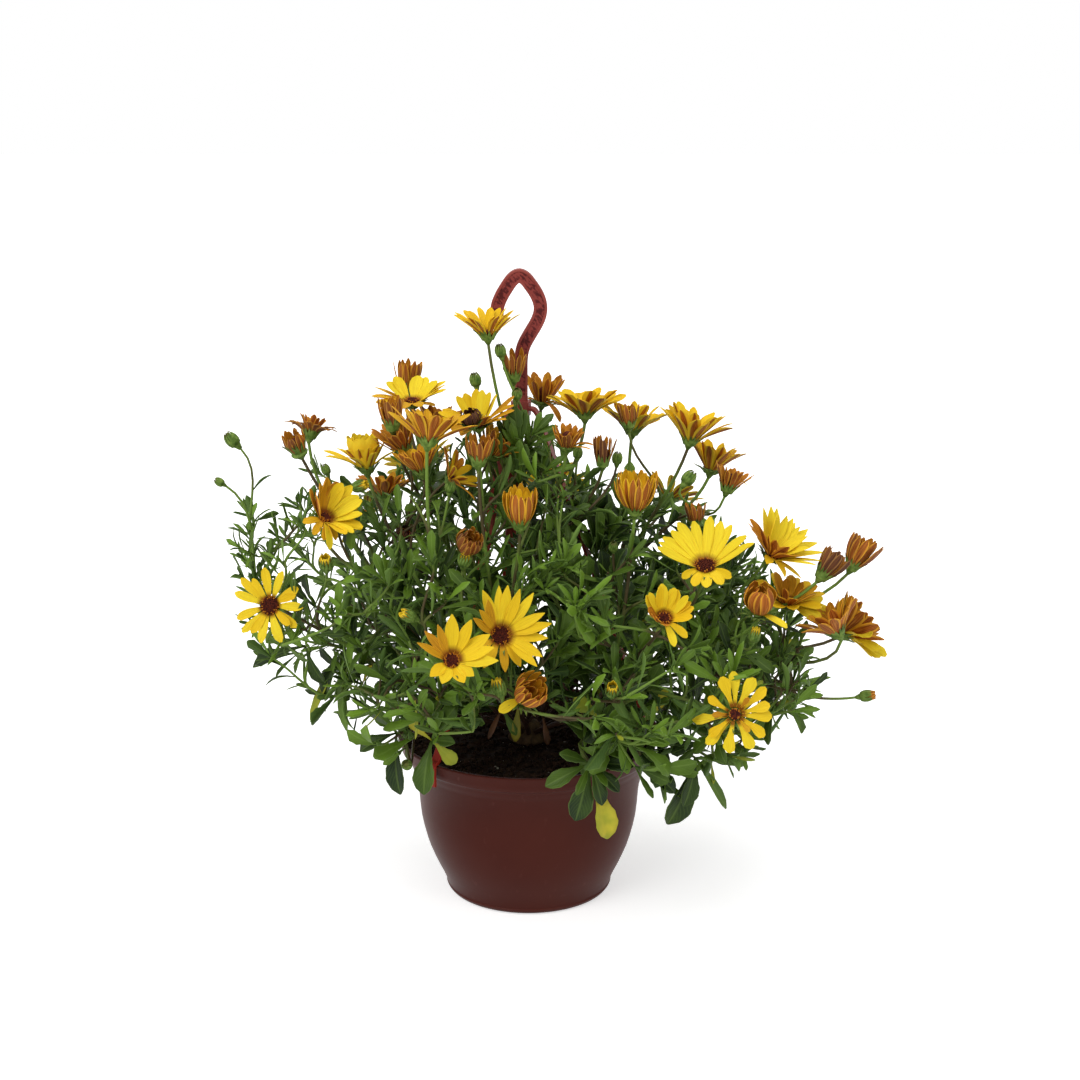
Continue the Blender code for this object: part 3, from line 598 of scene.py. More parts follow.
def channelStrip(route, side, width, thick, depth):
    # a bar extruded along a route, with a shallow channel in both flat faces that fades out at its ends
    bm = bmesh.new()
    cells = len(hanger["columns"]) - 1
    section = bmesh.ops.create_grid(bm, x_segments=cells, y_segments=1, size=0.5)["verts"]
    columns = sorted({round(vert.co.x, 4) for vert in section})
    places = [(columns.index(round(vert.co.x, 4)), 1 if vert.co.y > 0 else -1) for vert in section]
    faces = bm.faces[:]
    for k, point in enumerate(route):
        along = (route[min(k + 1, len(route) - 1)] - route[max(k - 1, 0)]).normalized()
        across = along.cross(side).normalized()
        if k:
            before = {vert: vert.co.copy() for vert in section}
            made = bmesh.ops.extrude_face_region(bm, geom=faces)["geom"]
            faces = [part for part in made if isinstance(part, bmesh.types.BMFace)]
            fresh = [part for part in made if isinstance(part, bmesh.types.BMVert)]
            section = [min(fresh, key=lambda v: (v.co - old).length) for old in before.values()]
        sunk = depth if 2 < k < len(route) - 3 else 0
        for vert, (column, sign) in zip(section, places):
            share, low = hanger["columns"][column]
            vert.co = point + across * share * width + side * sign * (thick / 2 - low * sunk)
    bmesh.ops.recalc_face_normals(bm, faces=bm.faces[:])
    for face in bm.faces:
        away = abs(face.calc_center_median().dot(side) - route[0].dot(side))
        if depth and abs(face.normal.dot(side)) > 0.9 and away < thick / 2 - depth * 0.6:
            face.material_index = 1
    return bm


def strapRoute(hub, outward):
    # places from the hub out and down to the rim, then over it and down its outside
    top = hanger["rimTop"]
    out, height = hanger["halfway"]
    route = [hub + outward * out + Vector((0, 0, up)) for out, up in hanger["fromHub"]]
    route.append(outward * out + Vector((0, 0, top + (hub.z - top) * height)))
    route += [outward * out + Vector((0, 0, top + up)) for out, up in hanger["overRim"]]
    return rounded(route, 2)


def makeHanger():
    hook, strap, hubSize = hanger["hook"], hanger["strap"], hanger["hub"]
    hub = Vector((hanger["axisX"], 0, (hubSize["low"] + hubSize["high"]) / 2))
    hookRoute = rounded([Vector((x, 0, z)) for x, z in hanger["hookRoute"]], 2)
    bm = channelStrip(hookRoute, Vector((0, 1, 0)), hook["width"], hook["thick"], hook["channel"])
    corner, tall = hubSize["radius"] / math.cos(math.pi / 6), hubSize["high"] - hubSize["low"]
    turn = math.radians(hanger["straps"]["hanger_strap_right"])
    bmesh.ops.create_cone(
        bm, cap_ends=True, segments=6, radius1=corner, radius2=corner, depth=tall,
        matrix=Matrix.Translation(hub) @ Matrix.Rotation(turn, 4, "Z"),
    )
    piece = addPiece("hangerHook", bm, [hangerPlastic, hangerRecess], ["hanger_hook"], 35)
    softenEdges(piece, hook["bevel"])
    for name, compass in hanger["straps"].items():
        turn = math.radians(compass)
        outward = Vector((math.cos(turn), math.sin(turn), 0))
        side = outward.cross(Vector((0, 0, 1)))
        bm = channelStrip(strapRoute(hub, outward), side, strap["thick"], strap["width"], 0)
        pieceName = name.replace("hanger_strap", "strap")
        piece = addPiece(pieceName, bm, [hangerPlastic], [name], 35)
        softenEdges(piece, strap["bevel"])


def softenEdges(piece, width):
    soft = piece.modifiers.new("softEdges", "BEVEL")
    soft.width = width
    soft.segments = 2
    soft.limit_method = "ANGLE"
    soft.angle_limit = math.radians(40)
    soft.use_clamp_overlap = True


makeHanger()
print("hanger made")


# flower heads
# Each head: tilt and compass of its axis as in the frame, then rings of petals, each given as (how many,
# length, width, angle from the axis at the foot, at the tip, age) and, where it isn't whole or plain, its
# first and last place and a twist. Places go round the axis from the right, lengths are in millimetres
# and angles in degrees.

heads = {
    1: {"lean": (4, 180), "rings": [(11, 28, 7, 44, 60, 0.45), (7, 23, 6.5, 26, 44, 0.4)]},
    2: {"lean": (8, 0), "rings": [
        (9, 25, 8, 36, 26, 0.95), (4, 20, 7, 16, 16, 0.9), (2, 28, 7, 90, 138, 0.9, 300, 350),
        (1, 24, 6, 84, 120, 0.9, 190, 200)]},
    3: {"lean": (8, -90), "rings": [
        (5, 25, 11, 50, 54, 0.0, 25, 155), (4, 31, 9, 66, 84, 0.6, 165, 215),
        (4, 30, 9, 56, 64, 0.1, -25, 20), (3, 22, 9, 66, 104, 0.75, 260, 315)]},
    4: {"lean": (14, -120), "disc": 1.15, "rings": [
        (6, 27, 8.5, 32, 34, 0.12, 25, 140), (5, 33, 8, 56, 64, 0.8, 300, 375),
        (3, 31, 7.5, 62, 74, 0.4, 155, 195), (3, 22, 8, 70, 96, 0.8, 210, 250)]},
    5: {"lean": (15, 60), "rings": [(13, 38, 8.5, 48, 62, 0.75), (9, 29, 7.5, 30, 40, 0.7)]},
    6: {"lean": (10, 60), "rings": [(12, 27, 8, 36, 44, 0.95), (8, 24, 7, 20, 26, 0.9)]},
    7: {"lean": (8, 150), "rings": [
        (14, 29, 11, 26, 2, -0.4), (12, 27, 9, 12, -4, -0.4), (6, 36, 8, 52, 70, 0.2, 130, 330),
        (7, 26, 8, 36, 38, 0.3, 190, 370)]},
    8: {"lean": (20, 60), "rings": [(15, 20, 5.5, 34, 104, 1.2), (10, 17, 5, 14, 40, 1.1)]},
    9: {"lean": (25, 220), "bracts": 1.4, "rings": [(13, 18, 5, 26, -12, 1.15)]},
    10: {"lean": (40, -34), "disc": 0.7, "rings": [
        (5, 31, 10, 40, 32, 0.1, 4, 88), (6, 31, 10.5, 38, 28, 0.9, 98, 205),
        (4, 28, 10, 56, 68, 0.15, -60, -4), (4, 20, 7, 84, 122, 0.6, 220, 310),
        (1, 27, 8, 84, 124, 0.0, 286, 288)]},
    11: {"lean": (10, 90), "rings": [(13, 27, 8, 48, 66, 1.0), (8, 22, 7, 30, 40, 0.8)]},
    12: {"lean": (72, -100), "disc": 1.2, "rings": [
        (11, 26, 7.8, 70, 90, 0.1), (4, 21, 7, 62, 84, 0.3, 20, 330)]},
    13: {"lean": (8, 90), "loose": 2.2, "rings": [
        (11, 33, 11, 54, 70, 0.42), (10, 29, 10.5, 38, 54, 0.3)]},
    14: {"lean": (12, 60), "loose": 2.2, "rings": [
        (10, 31, 11, 46, 66, 0.36), (9, 28, 10, 28, 40, 0.25)]},
    15: {"lean": (14, 10), "loose": 2.0, "rings": [
        (11, 35, 11, 42, 60, 0.42), (10, 32, 10, 28, 42, 0.25)]},
    16: {"lean": (16, 30), "loose": 1.6, "rings": [
        (10, 29, 10, 38, 52, 0.6), (8, 26, 9, 24, 36, 0.4), (1, 33, 4, 80, 124, 0.3, 345, 350)]},
    17: {"lean": (8, -60), "rings": [
        (13, 17, 4.5, 28, 30, 1.1), (7, 15, 4.5, 14, 18, 1.1), (2, 18, 4, 64, 104, 0.9, 330, 360)]},
    18: {"lean": (22, -95), "disc": 1.3, "rings": [
        (12, 39, 10, 60, 56, -0.1, -6, 186), (5, 18, 9, 90, 112, 0.2, 210, 330)]},
    19: {"lean": (35, -20), "pointed": True, "rings": [
        (11, 40, 9.5, 46, 54, -0.3, -44, 138), (8, 34, 9, 26, 34, -0.3, -10, 138),
        (6, 32, 10, 54, 62, 1.0, 140, 215), (5, 25, 9, 32, 42, 0.9, 205, 320),
        (3, 30, 9, 76, 96, 0.3, 250, 330)]},
    20: {"lean": (15, -80), "rings": [
        (10, 27, 9.5, 52, -44, 1.0), (8, 23, 8, 34, -44, 1.0), (6, 18, 6, 18, -40, 1.05),
        (1, 27, 9, 84, 100, 0.0, 310, 315)]},
    21: {"lean": (30, 165), "loose": 2.4, "rings": [
        (12, 31, 11, 42, 58, 0.9), (8, 27, 10, 28, 38, 0.85)]},
    22: {"lean": (55, 15), "rings": [
        (15, 32, 10.5, 50, 36, 0.85), (12, 30, 9.5, 34, 12, 0.9), (5, 38, 12, 62, 76, 0.0, -64, 40, 1.3),
        (10, 25, 8, 16, 10, 0.95)]},
    23: {"lean": (40, -82), "disc": 0.85, "rings": [
        (7, 24, 7.5, 42, 32, 0.1, 32, 152), (3, 21, 8, 46, 62, 0.4, -12, 24),
        (4, 17, 8, 40, 30, 1.0, 176, 262), (2, 21, 8, 84, 110, 0.1, 288, 322)]},
    24: {"lean": (70, -95), "disc": 0.75, "spoon": True, "rings": [
        (4, 29, 10, 70, 84, 0.1, 38, 108), (3, 26, 10, 76, 100, 0.1, 330, 372),
        (4, 28, 10, 78, 108, 0.1, 188, 300), (2, 22, 8, 60, 120, 0.3, 150, 215),
        (3, 17, 5, 30, 66, 0.8, 30, 300)]},
    25: {"lean": (60, -80), "disc": 1.15, "pointed": True, "rings": [
        (7, 37, 8.5, 58, 60, 0.15, 12, 115), (3, 36, 8, 38, 34, 0.8, 126, 165),
        (3, 32, 8.5, 72, 90, 0.25, -40, -5), (4, 25, 8.5, 84, 124, 0.6, 215, 305)]},
    26: {"lean": (50, -85), "disc": 0.95, "pointed": True, "rings": [
        (2, 35, 10.5, 42, 42, 0.15, 60, 88), (3, 33, 11, 60, 70, 0.15, -8, 32),
        (3, 33, 7.5, 36, 40, 0.85, 122, 166), (4, 19, 10, 72, 96, 0.25, 222, 325)]},
    27: {"lean": (50, -50), "rings": [
        (13, 26, 6.5, 52, -30, 0.9), (11, 21, 6, 36, -26, 0.95), (8, 15, 5, 20, -10, 1.0),
        (1, 23, 10, 96, 124, 0.0, 215, 220)]},
    28: {"lean": (4, -90), "rings": [(12, 22, 5, 22, 4, 1.15)]},
    29: {"lean": (8, 30), "rings": [(12, 26, 5, 22, 2, 1.0), (7, 24, 5, 12, 6, 0.9)]},
    30: {"lean": (4, 180), "rings": [(13, 23, 5, 24, 6, 1.15), (7, 20, 5, 14, 4, 1.1)]},
    31: {"lean": (4, -90), "rings": [(13, 30, 6.2, 32, -6, 0.75), (9, 27, 6, 20, 0, 0.6)]},
    32: {"lean": (45, -60), "rings": [
        (14, 22, 4.6, 44, -34, 1.22), (12, 19, 4.5, 30, -34, 1.2), (8, 14, 4, 14, -30, 1.15)]},
    33: {"lean": (6, -60), "rings": [(13, 21, 5, 26, 4, 1.15), (7, 19, 5, 16, 6, 1.1)]},
    34: {"lean": (5, -60), "rings": [(16, 33, 7, 44, -4, 0.72), (12, 31, 7, 30, 2, 0.55)]},
    35: {"lean": (28, 10), "rings": [(14, 29, 7, 32, 0, 1.1), (10, 26, 6.5, 20, 0, 1.0)]},
    36: {"lean": (42, 20), "rings": [(13, 24, 6, 28, -8, 1.42), (8, 22, 5, 18, 4, 1.35)]},
    37: {"lean": (2, 0), "rings": [(10, 21, 4, 13, 0, 1.3)]},
    38: {"lean": (40, 120), "disc": 1.2, "rings": [(14, 32, 10, 60, 72, 0.1)]},
    39: {"lean": (50, 85), "disc": 1.2, "rings": [(15, 34, 10, 64, 78, 0.15)]},
    40: {"lean": (35, 50), "disc": 1.2, "rings": [(14, 28, 9, 58, 68, 0.3)]},
    41: {"lean": (60, 150), "disc": 1.2, "rings": [(14, 30, 10, 74, 86, 0.1)]},
}
petal = {
    "foot": 0.0056,
    "inset": 0.0007,
    "stagger": 0.0004,
    "astray": 0.22,
    "sizes": (0.90, 1.04),
    "widths": (0.86, 1.1),
    "sway": 0.10,
    "twist": 0.35,
    "narrowHead": 56,
    "outline": ((0, 0.30), (0.2, 0.52), (0.45, 0.88), (0.66, 1.0), (0.84, 0.92), (0.94, 0.66), (1.0, 0.22)),
    "pointed": ((0, 0.30), (0.2, 0.60), (0.42, 0.96), (0.56, 1.0), (0.76, 0.78), (0.90, 0.42), (1.0, 0.06)),
    "spoon": ((0, 0.26), (0.3, 0.32), (0.5, 0.56), (0.7, 0.94), (0.86, 0.98), (0.95, 0.72), (1.0, 0.26)),
}
petalPart, backPart, calyxPart, discPart, pollenPart = range(5)
petalLook = {
    "across": 4, "along": 8, "thick": 0.00035, "face": petalPart, "back": backPart,
    "wild": 1.0, "cup": 0.22, "ridge": 0.045,
}
bractLook = {
    "across": 2, "along": 4, "thick": 0.0004, "face": calyxPart, "back": calyxPart,
    "wild": 0.2, "cup": 0.15, "ridge": 0.0,
}
calyx = {
    "bracts": 15,
    "foot": 0.0046,
    "length": 0.0125,
    "width": 0.0030,
    "cup": 0.0054,
    "outline": ((0, 0.9), (0.35, 1.0), (0.7, 0.62), (1.0, 0.08)),
}
disc = {"radius": 0.0062, "rise": 0.34, "florets": 74, "goldenTurn": 2.39996, "goldFrom": 0.72}
receptacle = 0.0090


def headFrame(seat, axis):
    # turns head coordinates into the frame's: z along the axis, x as near to the right as can be
    right = Vector((1, 0, 0))
    right = (right - axis * right.dot(axis)).normalized()
    other = axis.cross(right)
    return Matrix((
        (right.x, other.x, axis.x, seat.x),
        (right.y, other.y, axis.y, seat.y),
        (right.z, other.z, axis.z, seat.z),
        (0, 0, 0, 1),
    ))


def seatOf(node, axis):
    # where the stem meets a head: the middle of the node's lowest ring along its axis
    points = np.array([vert.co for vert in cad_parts[node].data.vertices])
    heights = points @ np.array(axis)
    return Vector(points[heights < heights.min() + 0.0004].mean(axis=0))


def bladeSpine(length, first, last, count):
    # distance from the axis and height, and the direction, at even steps along a blade
    steps = np.linspace(0, 1, count + 1)
    angles = np.radians(first + (last - first) * steps**1.15)
    middle = (angles[1:] + angles[:-1]) / 2
    out = np.concatenate([[0], np.cumsum(np.sin(middle))]) * length / count
    up = np.concatenate([[0], np.cumsum(np.cos(middle))]) * length / count
    return out, up, angles


def addBlade(bm, turn, foot, height, length, width, first, last, outline, look, dice, age):
    # one petal or bract: a grid bent to its spine, then given a thickness
    steps = 24
    ageLayer = bm.verts.layers.float["age"]
    made = bmesh.ops.create_grid(
        bm, x_segments=look["across"], y_segments=look["along"], size=0.5, calc_uvs=True
    )["verts"]
    spine = bladeSpine(length, first, last, steps)
    outward = Vector((math.cos(turn), math.sin(turn), 0))
    sideways = Vector((-math.sin(turn), math.cos(turn), 0))
    axis = Vector((0, 0, 1))
    shares, widths = zip(*outline)
    sway = dice.uniform(-petal["sway"], petal["sway"]) * length
    twist = dice.uniform(-petal["twist"], petal["twist"]) * look["wild"] + look.get("turned", 0.0)
    cup = look["cup"] * dice.uniform(0.6, 1.3)
    for vert in made:
        s, t = vert.co.x * 2, vert.co.y + 0.5
        half = width / 2 * np.interp(t, shares, widths)
        out, up, angle = (np.interp(t * steps, range(steps + 1), line) for line in spine)
        inner = axis * math.sin(angle) - outward * math.cos(angle)
        turned = twist * t
        across = sideways * math.cos(turned) + inner * math.sin(turned)
        lifted = inner * math.cos(turned) - sideways * math.sin(turned)
        ridge = math.cos(s * math.pi * 1.5) * look["ridge"] * math.sin(math.pi * min(1, t * 1.1)) * width
        vert.co = (
            outward * (foot + out) + axis * (height + up) + across * (half * s) + sideways * (sway * t * t)
            + lifted * (cup * s * s * half + ridge)
        )
        vert[ageLayer] = age
    # a grid comes out with its face on the underside
    faces = list({face for vert in made for face in vert.link_faces})
    for face in faces:
        face.material_index = look["face"]
        face.normal_update()
    bmesh.ops.reverse_faces(bm, faces=faces)
    before = set(bm.faces)
    bmesh.ops.solidify(bm, geom=faces, thickness=look["thick"])
    for face in set(bm.faces) - before:
        face.material_index = look["back"]
        for vert in face.verts:
            vert[ageLayer] = age


def addCup(bm, scale):
    # the green cone under the petals and the dome that they stand on
    wide = calyx["cup"] * scale
    cone = bmesh.ops.create_cone(
        bm, cap_ends=True, segments=14, radius1=0.0015, radius2=wide, depth=receptacle * 0.72,
        matrix=Matrix.Translation((0, 0, receptacle * 0.36)), calc_uvs=True,
    )["verts"]
    setMaterial(cone, calyxPart)
    dome = bmesh.ops.create_uvsphere(
        bm, u_segments=14, v_segments=6, radius=wide, calc_uvs=True,
        matrix=Matrix.Translation((0, 0, receptacle * 0.70)) @ Matrix.Scale(0.45, 4, (0, 0, 1)),
    )["verts"]
    setMaterial(dome, calyxPart)


def addDisc(bm, scale, dice):
    # a low dome of florets in a golden spiral, dark in the middle with gold tips round the edge
    radius, rise = disc["radius"] * scale, disc["rise"]
    dome = bmesh.ops.create_uvsphere(
        bm, u_segments=18, v_segments=8, radius=radius,
        matrix=Matrix.Translation((0, 0, receptacle)) @ Matrix.Scale(rise, 4, (0, 0, 1)),
    )["verts"]
    setMaterial(dome, discPart)
    for k in range(disc["florets"]):
        share = math.sqrt((k + 0.5) / disc["florets"])
        turn = k * disc["goldenTurn"]
        place = Vector((radius * share * math.cos(turn), radius * share * math.sin(turn), 0))
        place.z = receptacle + radius * rise * math.sqrt(max(0, 1 - share**2)) + 0.0002
        height = 0.0012 + 0.0014 * share * dice.uniform(0.6, 1.2)
        place += Vector((place.x, place.y, 0)) * 0.05
        floret = bmesh.ops.create_cone(
            bm, cap_ends=True, segments=5, radius1=0.0005, radius2=0.00062, depth=height,
            matrix=Matrix.Translation(place) @ Matrix.Rotation(turn, 4, "Z"),
        )["verts"]
        golden = share > disc["goldFrom"] and dice.random() < 0.55
        setMaterial(floret, pollenPart if golden else discPart)


def addRing(bm, style, order, dice, count, length, width, first, last, age, start=0, end=360, twist=0.0):
    # one ring of petals; every second whole ring stands in the gaps of the one before
    outline = petal["spoon" if style.get("spoon") else "pointed" if style.get("pointed") else "outline"]
    look = {**petalLook, "wild": style.get("loose", 1.0), "turned": twist}
    wild = 9 if age > 0.6 or "spoon" in style else 4
    narrow = style["rings"][0][3] < petal["narrowHead"]
    foot = petal["foot"] - petal["inset"] * narrow * order
    for k in range(count):
        share = (k + 0.5 * (order % 2)) / count if end - start >= 360 else k / max(1, count - 1)
        place = start + (end - start) * share
        place += dice.uniform(-petal["astray"], petal["astray"]) * (end - start) / count
        height = receptacle * 0.92 + petal["stagger"] * (k % 2)
        size = dice.uniform(*petal["sizes"])
        addBlade(
            bm, math.radians(place), foot, height, length * 0.001 * size,
            width * 0.001 * dice.uniform(*petal["widths"]), first + dice.uniform(-wild, wild),
            last + dice.uniform(-wild, wild) * 1.6, outline, look, dice, age + dice.uniform(-0.12, 0.12),
        )


def headMesh(style, dice):
    bm = bmesh.new()
    bm.loops.layers.uv.new("UVMap")
    bm.verts.layers.float.new("age")
    rings, scale = style["rings"], style.get("bracts", 1.0)
    lean = max(ring[3] for ring in rings) + 5
    addCup(bm, scale)
    for k in range(calyx["bracts"]):
        turn = 2 * math.pi * (k + dice.uniform(-0.2, 0.2)) / calyx["bracts"]
        length = calyx["length"] * scale * dice.uniform(0.8, 1.1)
        addBlade(
            bm, turn, calyx["foot"], receptacle * 0.45, length, calyx["width"], lean * 0.55, lean,
            calyx["outline"], bractLook, dice, 0.0,
        )
    for order, ring in enumerate(rings):
        addRing(bm, style, order, dice, *ring)
    if rings[0][3] > 40 or style.get("disc"):
        addDisc(bm, style.get("disc", 0.9), dice)
    else:
        core = bmesh.ops.create_uvsphere(
            bm, u_segments=12, v_segments=8, radius=0.0052,
            matrix=Matrix.Translation((0, 0, receptacle + 0.004)) @ Matrix.Scale(1.5, 4, (0, 0, 1)),
        )["verts"]
        setMaterial(core, discPart)
    return bm


def makeHeads():
    seats = {}
    for order, (number, style) in enumerate(heads.items()):
        name = f"flower_{number:02d}"
        axis = leaning(*style["lean"])
        seat = seatOf(name, axis)
        seats[number] = (seat, axis)
        bm = headMesh(style, random.Random(300 + order))
        bmesh.ops.transform(bm, matrix=headFrame(seat, axis), verts=bm.verts[:])
        addPiece(f"daisy_{number:02d}", bm, headMaterials, [name], 60)
    return seats


headSeats = makeHeads()
print("flower heads made")


# leaves: a few patterns one unit long, set out many times along the stems

leafKinds = {
    "narrow": {
        "width": 0.155, "bends": (-0.10, 0.06, 0.20, 0.36), "tooth": 0, "teeth": 0,
        "steps": 5, "columns": 2,
        "outline": ((0, 0.20), (0.15, 0.30), (0.45, 0.84), (0.68, 1.0), (0.88, 0.72), (1.0, 0.10)),
    },
    "middle": {
        "width": 0.235, "bends": (-0.08, 0.12, 0.30), "tooth": 0.08, "teeth": 3.5, "steps": 7, "columns": 2,
        "outline": ((0, 0.15), (0.2, 0.26), (0.5, 0.74), (0.75, 1.0), (0.9, 0.78), (1.0, 0.16)),
    },
    "broad": {
        "width": 0.34, "bends": (-0.05, 0.15, 0.38), "tooth": 0.09, "teeth": 4.5, "steps": 9, "columns": 2,
        "outline": ((0, 0.12), (0.25, 0.20), (0.5, 0.58), (0.75, 1.0), (0.9, 0.86), (1.0, 0.20)),
    },
    "rim": {
        "width": 0.36, "bends": (0.10, 0.22, 0.40), "tooth": 0.05, "teeth": 5.5, "steps": 18, "columns": 4,
        "outline": (
            (0, 0.10), (0.15, 0.15), (0.35, 0.46), (0.55, 0.86),
            (0.68, 1.0), (0.82, 0.88), (0.93, 0.54), (1, 0.08),
        ),
    },
}
# tones run from 0, dark green, to 1, fresh green, then yellow from 1.4 and withered from 2.2; the dark
# tones given deep inside the plant are painted shade
leafTones = (0.0, 0.25, 0.5, 0.75, 1.0, 1.7, 2.0, 2.6, 3.0)
plantMaterials = (stemGreen, leafTop, leafUnder, *headMaterials)


def patternMesh(name, bm, shift):
    # turns a finished pattern into a mesh that carries the plant's materials
    for face in bm.faces:
        face.smooth = True
        face.material_index += shift
    mesh = bpy.data.meshes.new(name)
    bm.to_mesh(mesh)
    bm.free()
    for material in plantMaterials:
        mesh.materials.append(material)
    return mesh


def leafPattern(kind, bend, tone):
    look = leafKinds[kind]
    bm = bmesh.new()
    bm.loops.layers.uv.new("UVMap")
    toneLayer = bm.verts.layers.float.new("tone")
    made = bmesh.ops.create_grid(
        bm, x_segments=look["columns"], y_segments=look["steps"], size=0.5, calc_uvs=True
    )["verts"]
    shares, widths = zip(*look["outline"])
    for vert in made:
        s, even = vert.co.x * 2, vert.co.y + 0.5
        t = 1 - (1 - even) ** 1.35
        half = look["width"] / 2 * np.interp(t, shares, widths)
        if look["tooth"] and 0.35 < t < 0.97:
            half *= 1 - look["tooth"] * math.cos(even * look["teeth"] * 2 * math.pi)
        fold = abs(s) * half * 0.42
        arch = bend * (t - 1.35 * t * t)
        vert.co = (s * half, t - 0.35 * abs(bend) * t * t, fold + arch)
    faces = bm.faces[:]
    bm.normal_update()
    if faces[0].normal.z < 0:
        bmesh.ops.reverse_faces(bm, faces=faces)
    before = set(bm.faces)
    bmesh.ops.solidify(bm, geom=faces, thickness=0.011)
    for face in bm.faces:
        face.material_index = 0 if face in before else 1
    for vert in bm.verts:
        vert[toneLayer] = tone
    bmesh.ops.recalc_face_normals(bm, faces=bm.faces[:])
    return patternMesh("leaf_" + kind, bm, 1)


leafPatterns = {
    kind: {tone: [leafPattern(kind, bend, tone) for bend in look["bends"]] for tone in leafTones}
    for kind, look in leafKinds.items()
}


def ballBud(tips, bracts, first, last, seed, age=1.0):
    # a small round bud wrapped in bracts, with petal tips at its mouth when it is older
    dice = random.Random(seed)
    bm = bmesh.new()
    bm.loops.layers.uv.new("UVMap")
    bm.verts.layers.float.new("age")
    addCup(bm, 0.72)
    ball = bmesh.ops.create_uvsphere(
        bm, u_segments=12, v_segments=8, radius=0.0042, calc_uvs=True,
        matrix=Matrix.Translation((0, 0, 0.0078)) @ Matrix.Scale(1.35, 4, (0, 0, 1)),
    )["verts"]
    setMaterial(ball, calyxPart)
    for k in range(bracts):
        addBlade(
            bm, 2 * math.pi * k / bracts, 0.0036, 0.0045, 0.0118, 0.0025, first, last,
            calyx["outline"], bractLook, dice, 0.0,
        )
    for k in range(tips):
        addBlade(
            bm, 2 * math.pi * (k + 0.5) / tips, 0.0030, 0.0070, 0.0105, 0.0040, 18, -22,
            petal["outline"], {**petalLook, "across": 2, "along": 4}, dice, age,
        )
    bmesh.ops.recalc_face_normals(bm, faces=bm.faces[:])
    return patternMesh("bud", bm, 3)


budPatterns = {
    "green": ballBud(0, 13, 26, -52, 5),
    "showing": ballBud(9, 13, 26, -40, 6),
    "lemon": ballBud(9, 14, 26, -30, 8, 0.1),
}
smallHeads = {
    "slim": {"bracts": 0.85, "rings": [(12, 19, 4.5, 26, -8, 1.2)]},
    "halfOpen": {"bracts": 0.85, "rings": [(12, 21, 5, 32, 42, 1.1), (8, 17, 4.5, 16, 14, 1.05)]},
    "open": {"bracts": 0.9, "rings": [(9, 31, 9, 54, 70, 0.9), (7, 27, 8.5, 36, 48, 0.35)]},
    "orange": {"bracts": 0.85, "rings": [(13, 25, 7.5, 36, 34, 0.8), (8, 21, 6.5, 18, 18, 0.7)]},
    "burst": {"bracts": 0.9, "rings": [
        (9, 28, 10.5, 60, 80, 0.3), (7, 25, 10, 40, 52, 0.85), (3, 30, 10, 80, 98, -0.1, -40, 20, 0.8),
        (5, 20, 7, 20, 20, 1.0)]},
    "withered": {"bracts": 0.7, "rings": [(12, 12, 3.5, 48, -60, 1.7), (8, 10, 3, 30, -40, 2.0)]},
}
for order, (name, style) in enumerate(smallHeads.items()):
    budPatterns[name] = patternMesh(name, headMesh(style, random.Random(80 + order)), 3)
print("leaf and bud patterns made")

# Branches: which facet of the crown each leaves from, where it forks, its flower heads, how many free
# shoots it has, goals of shoots that must be there, its buds as (kind, place, size, tilt, compass), and
# tufts of set leaves as (foot, then kind, tone and tip of each leaf). Places are in millimetres.

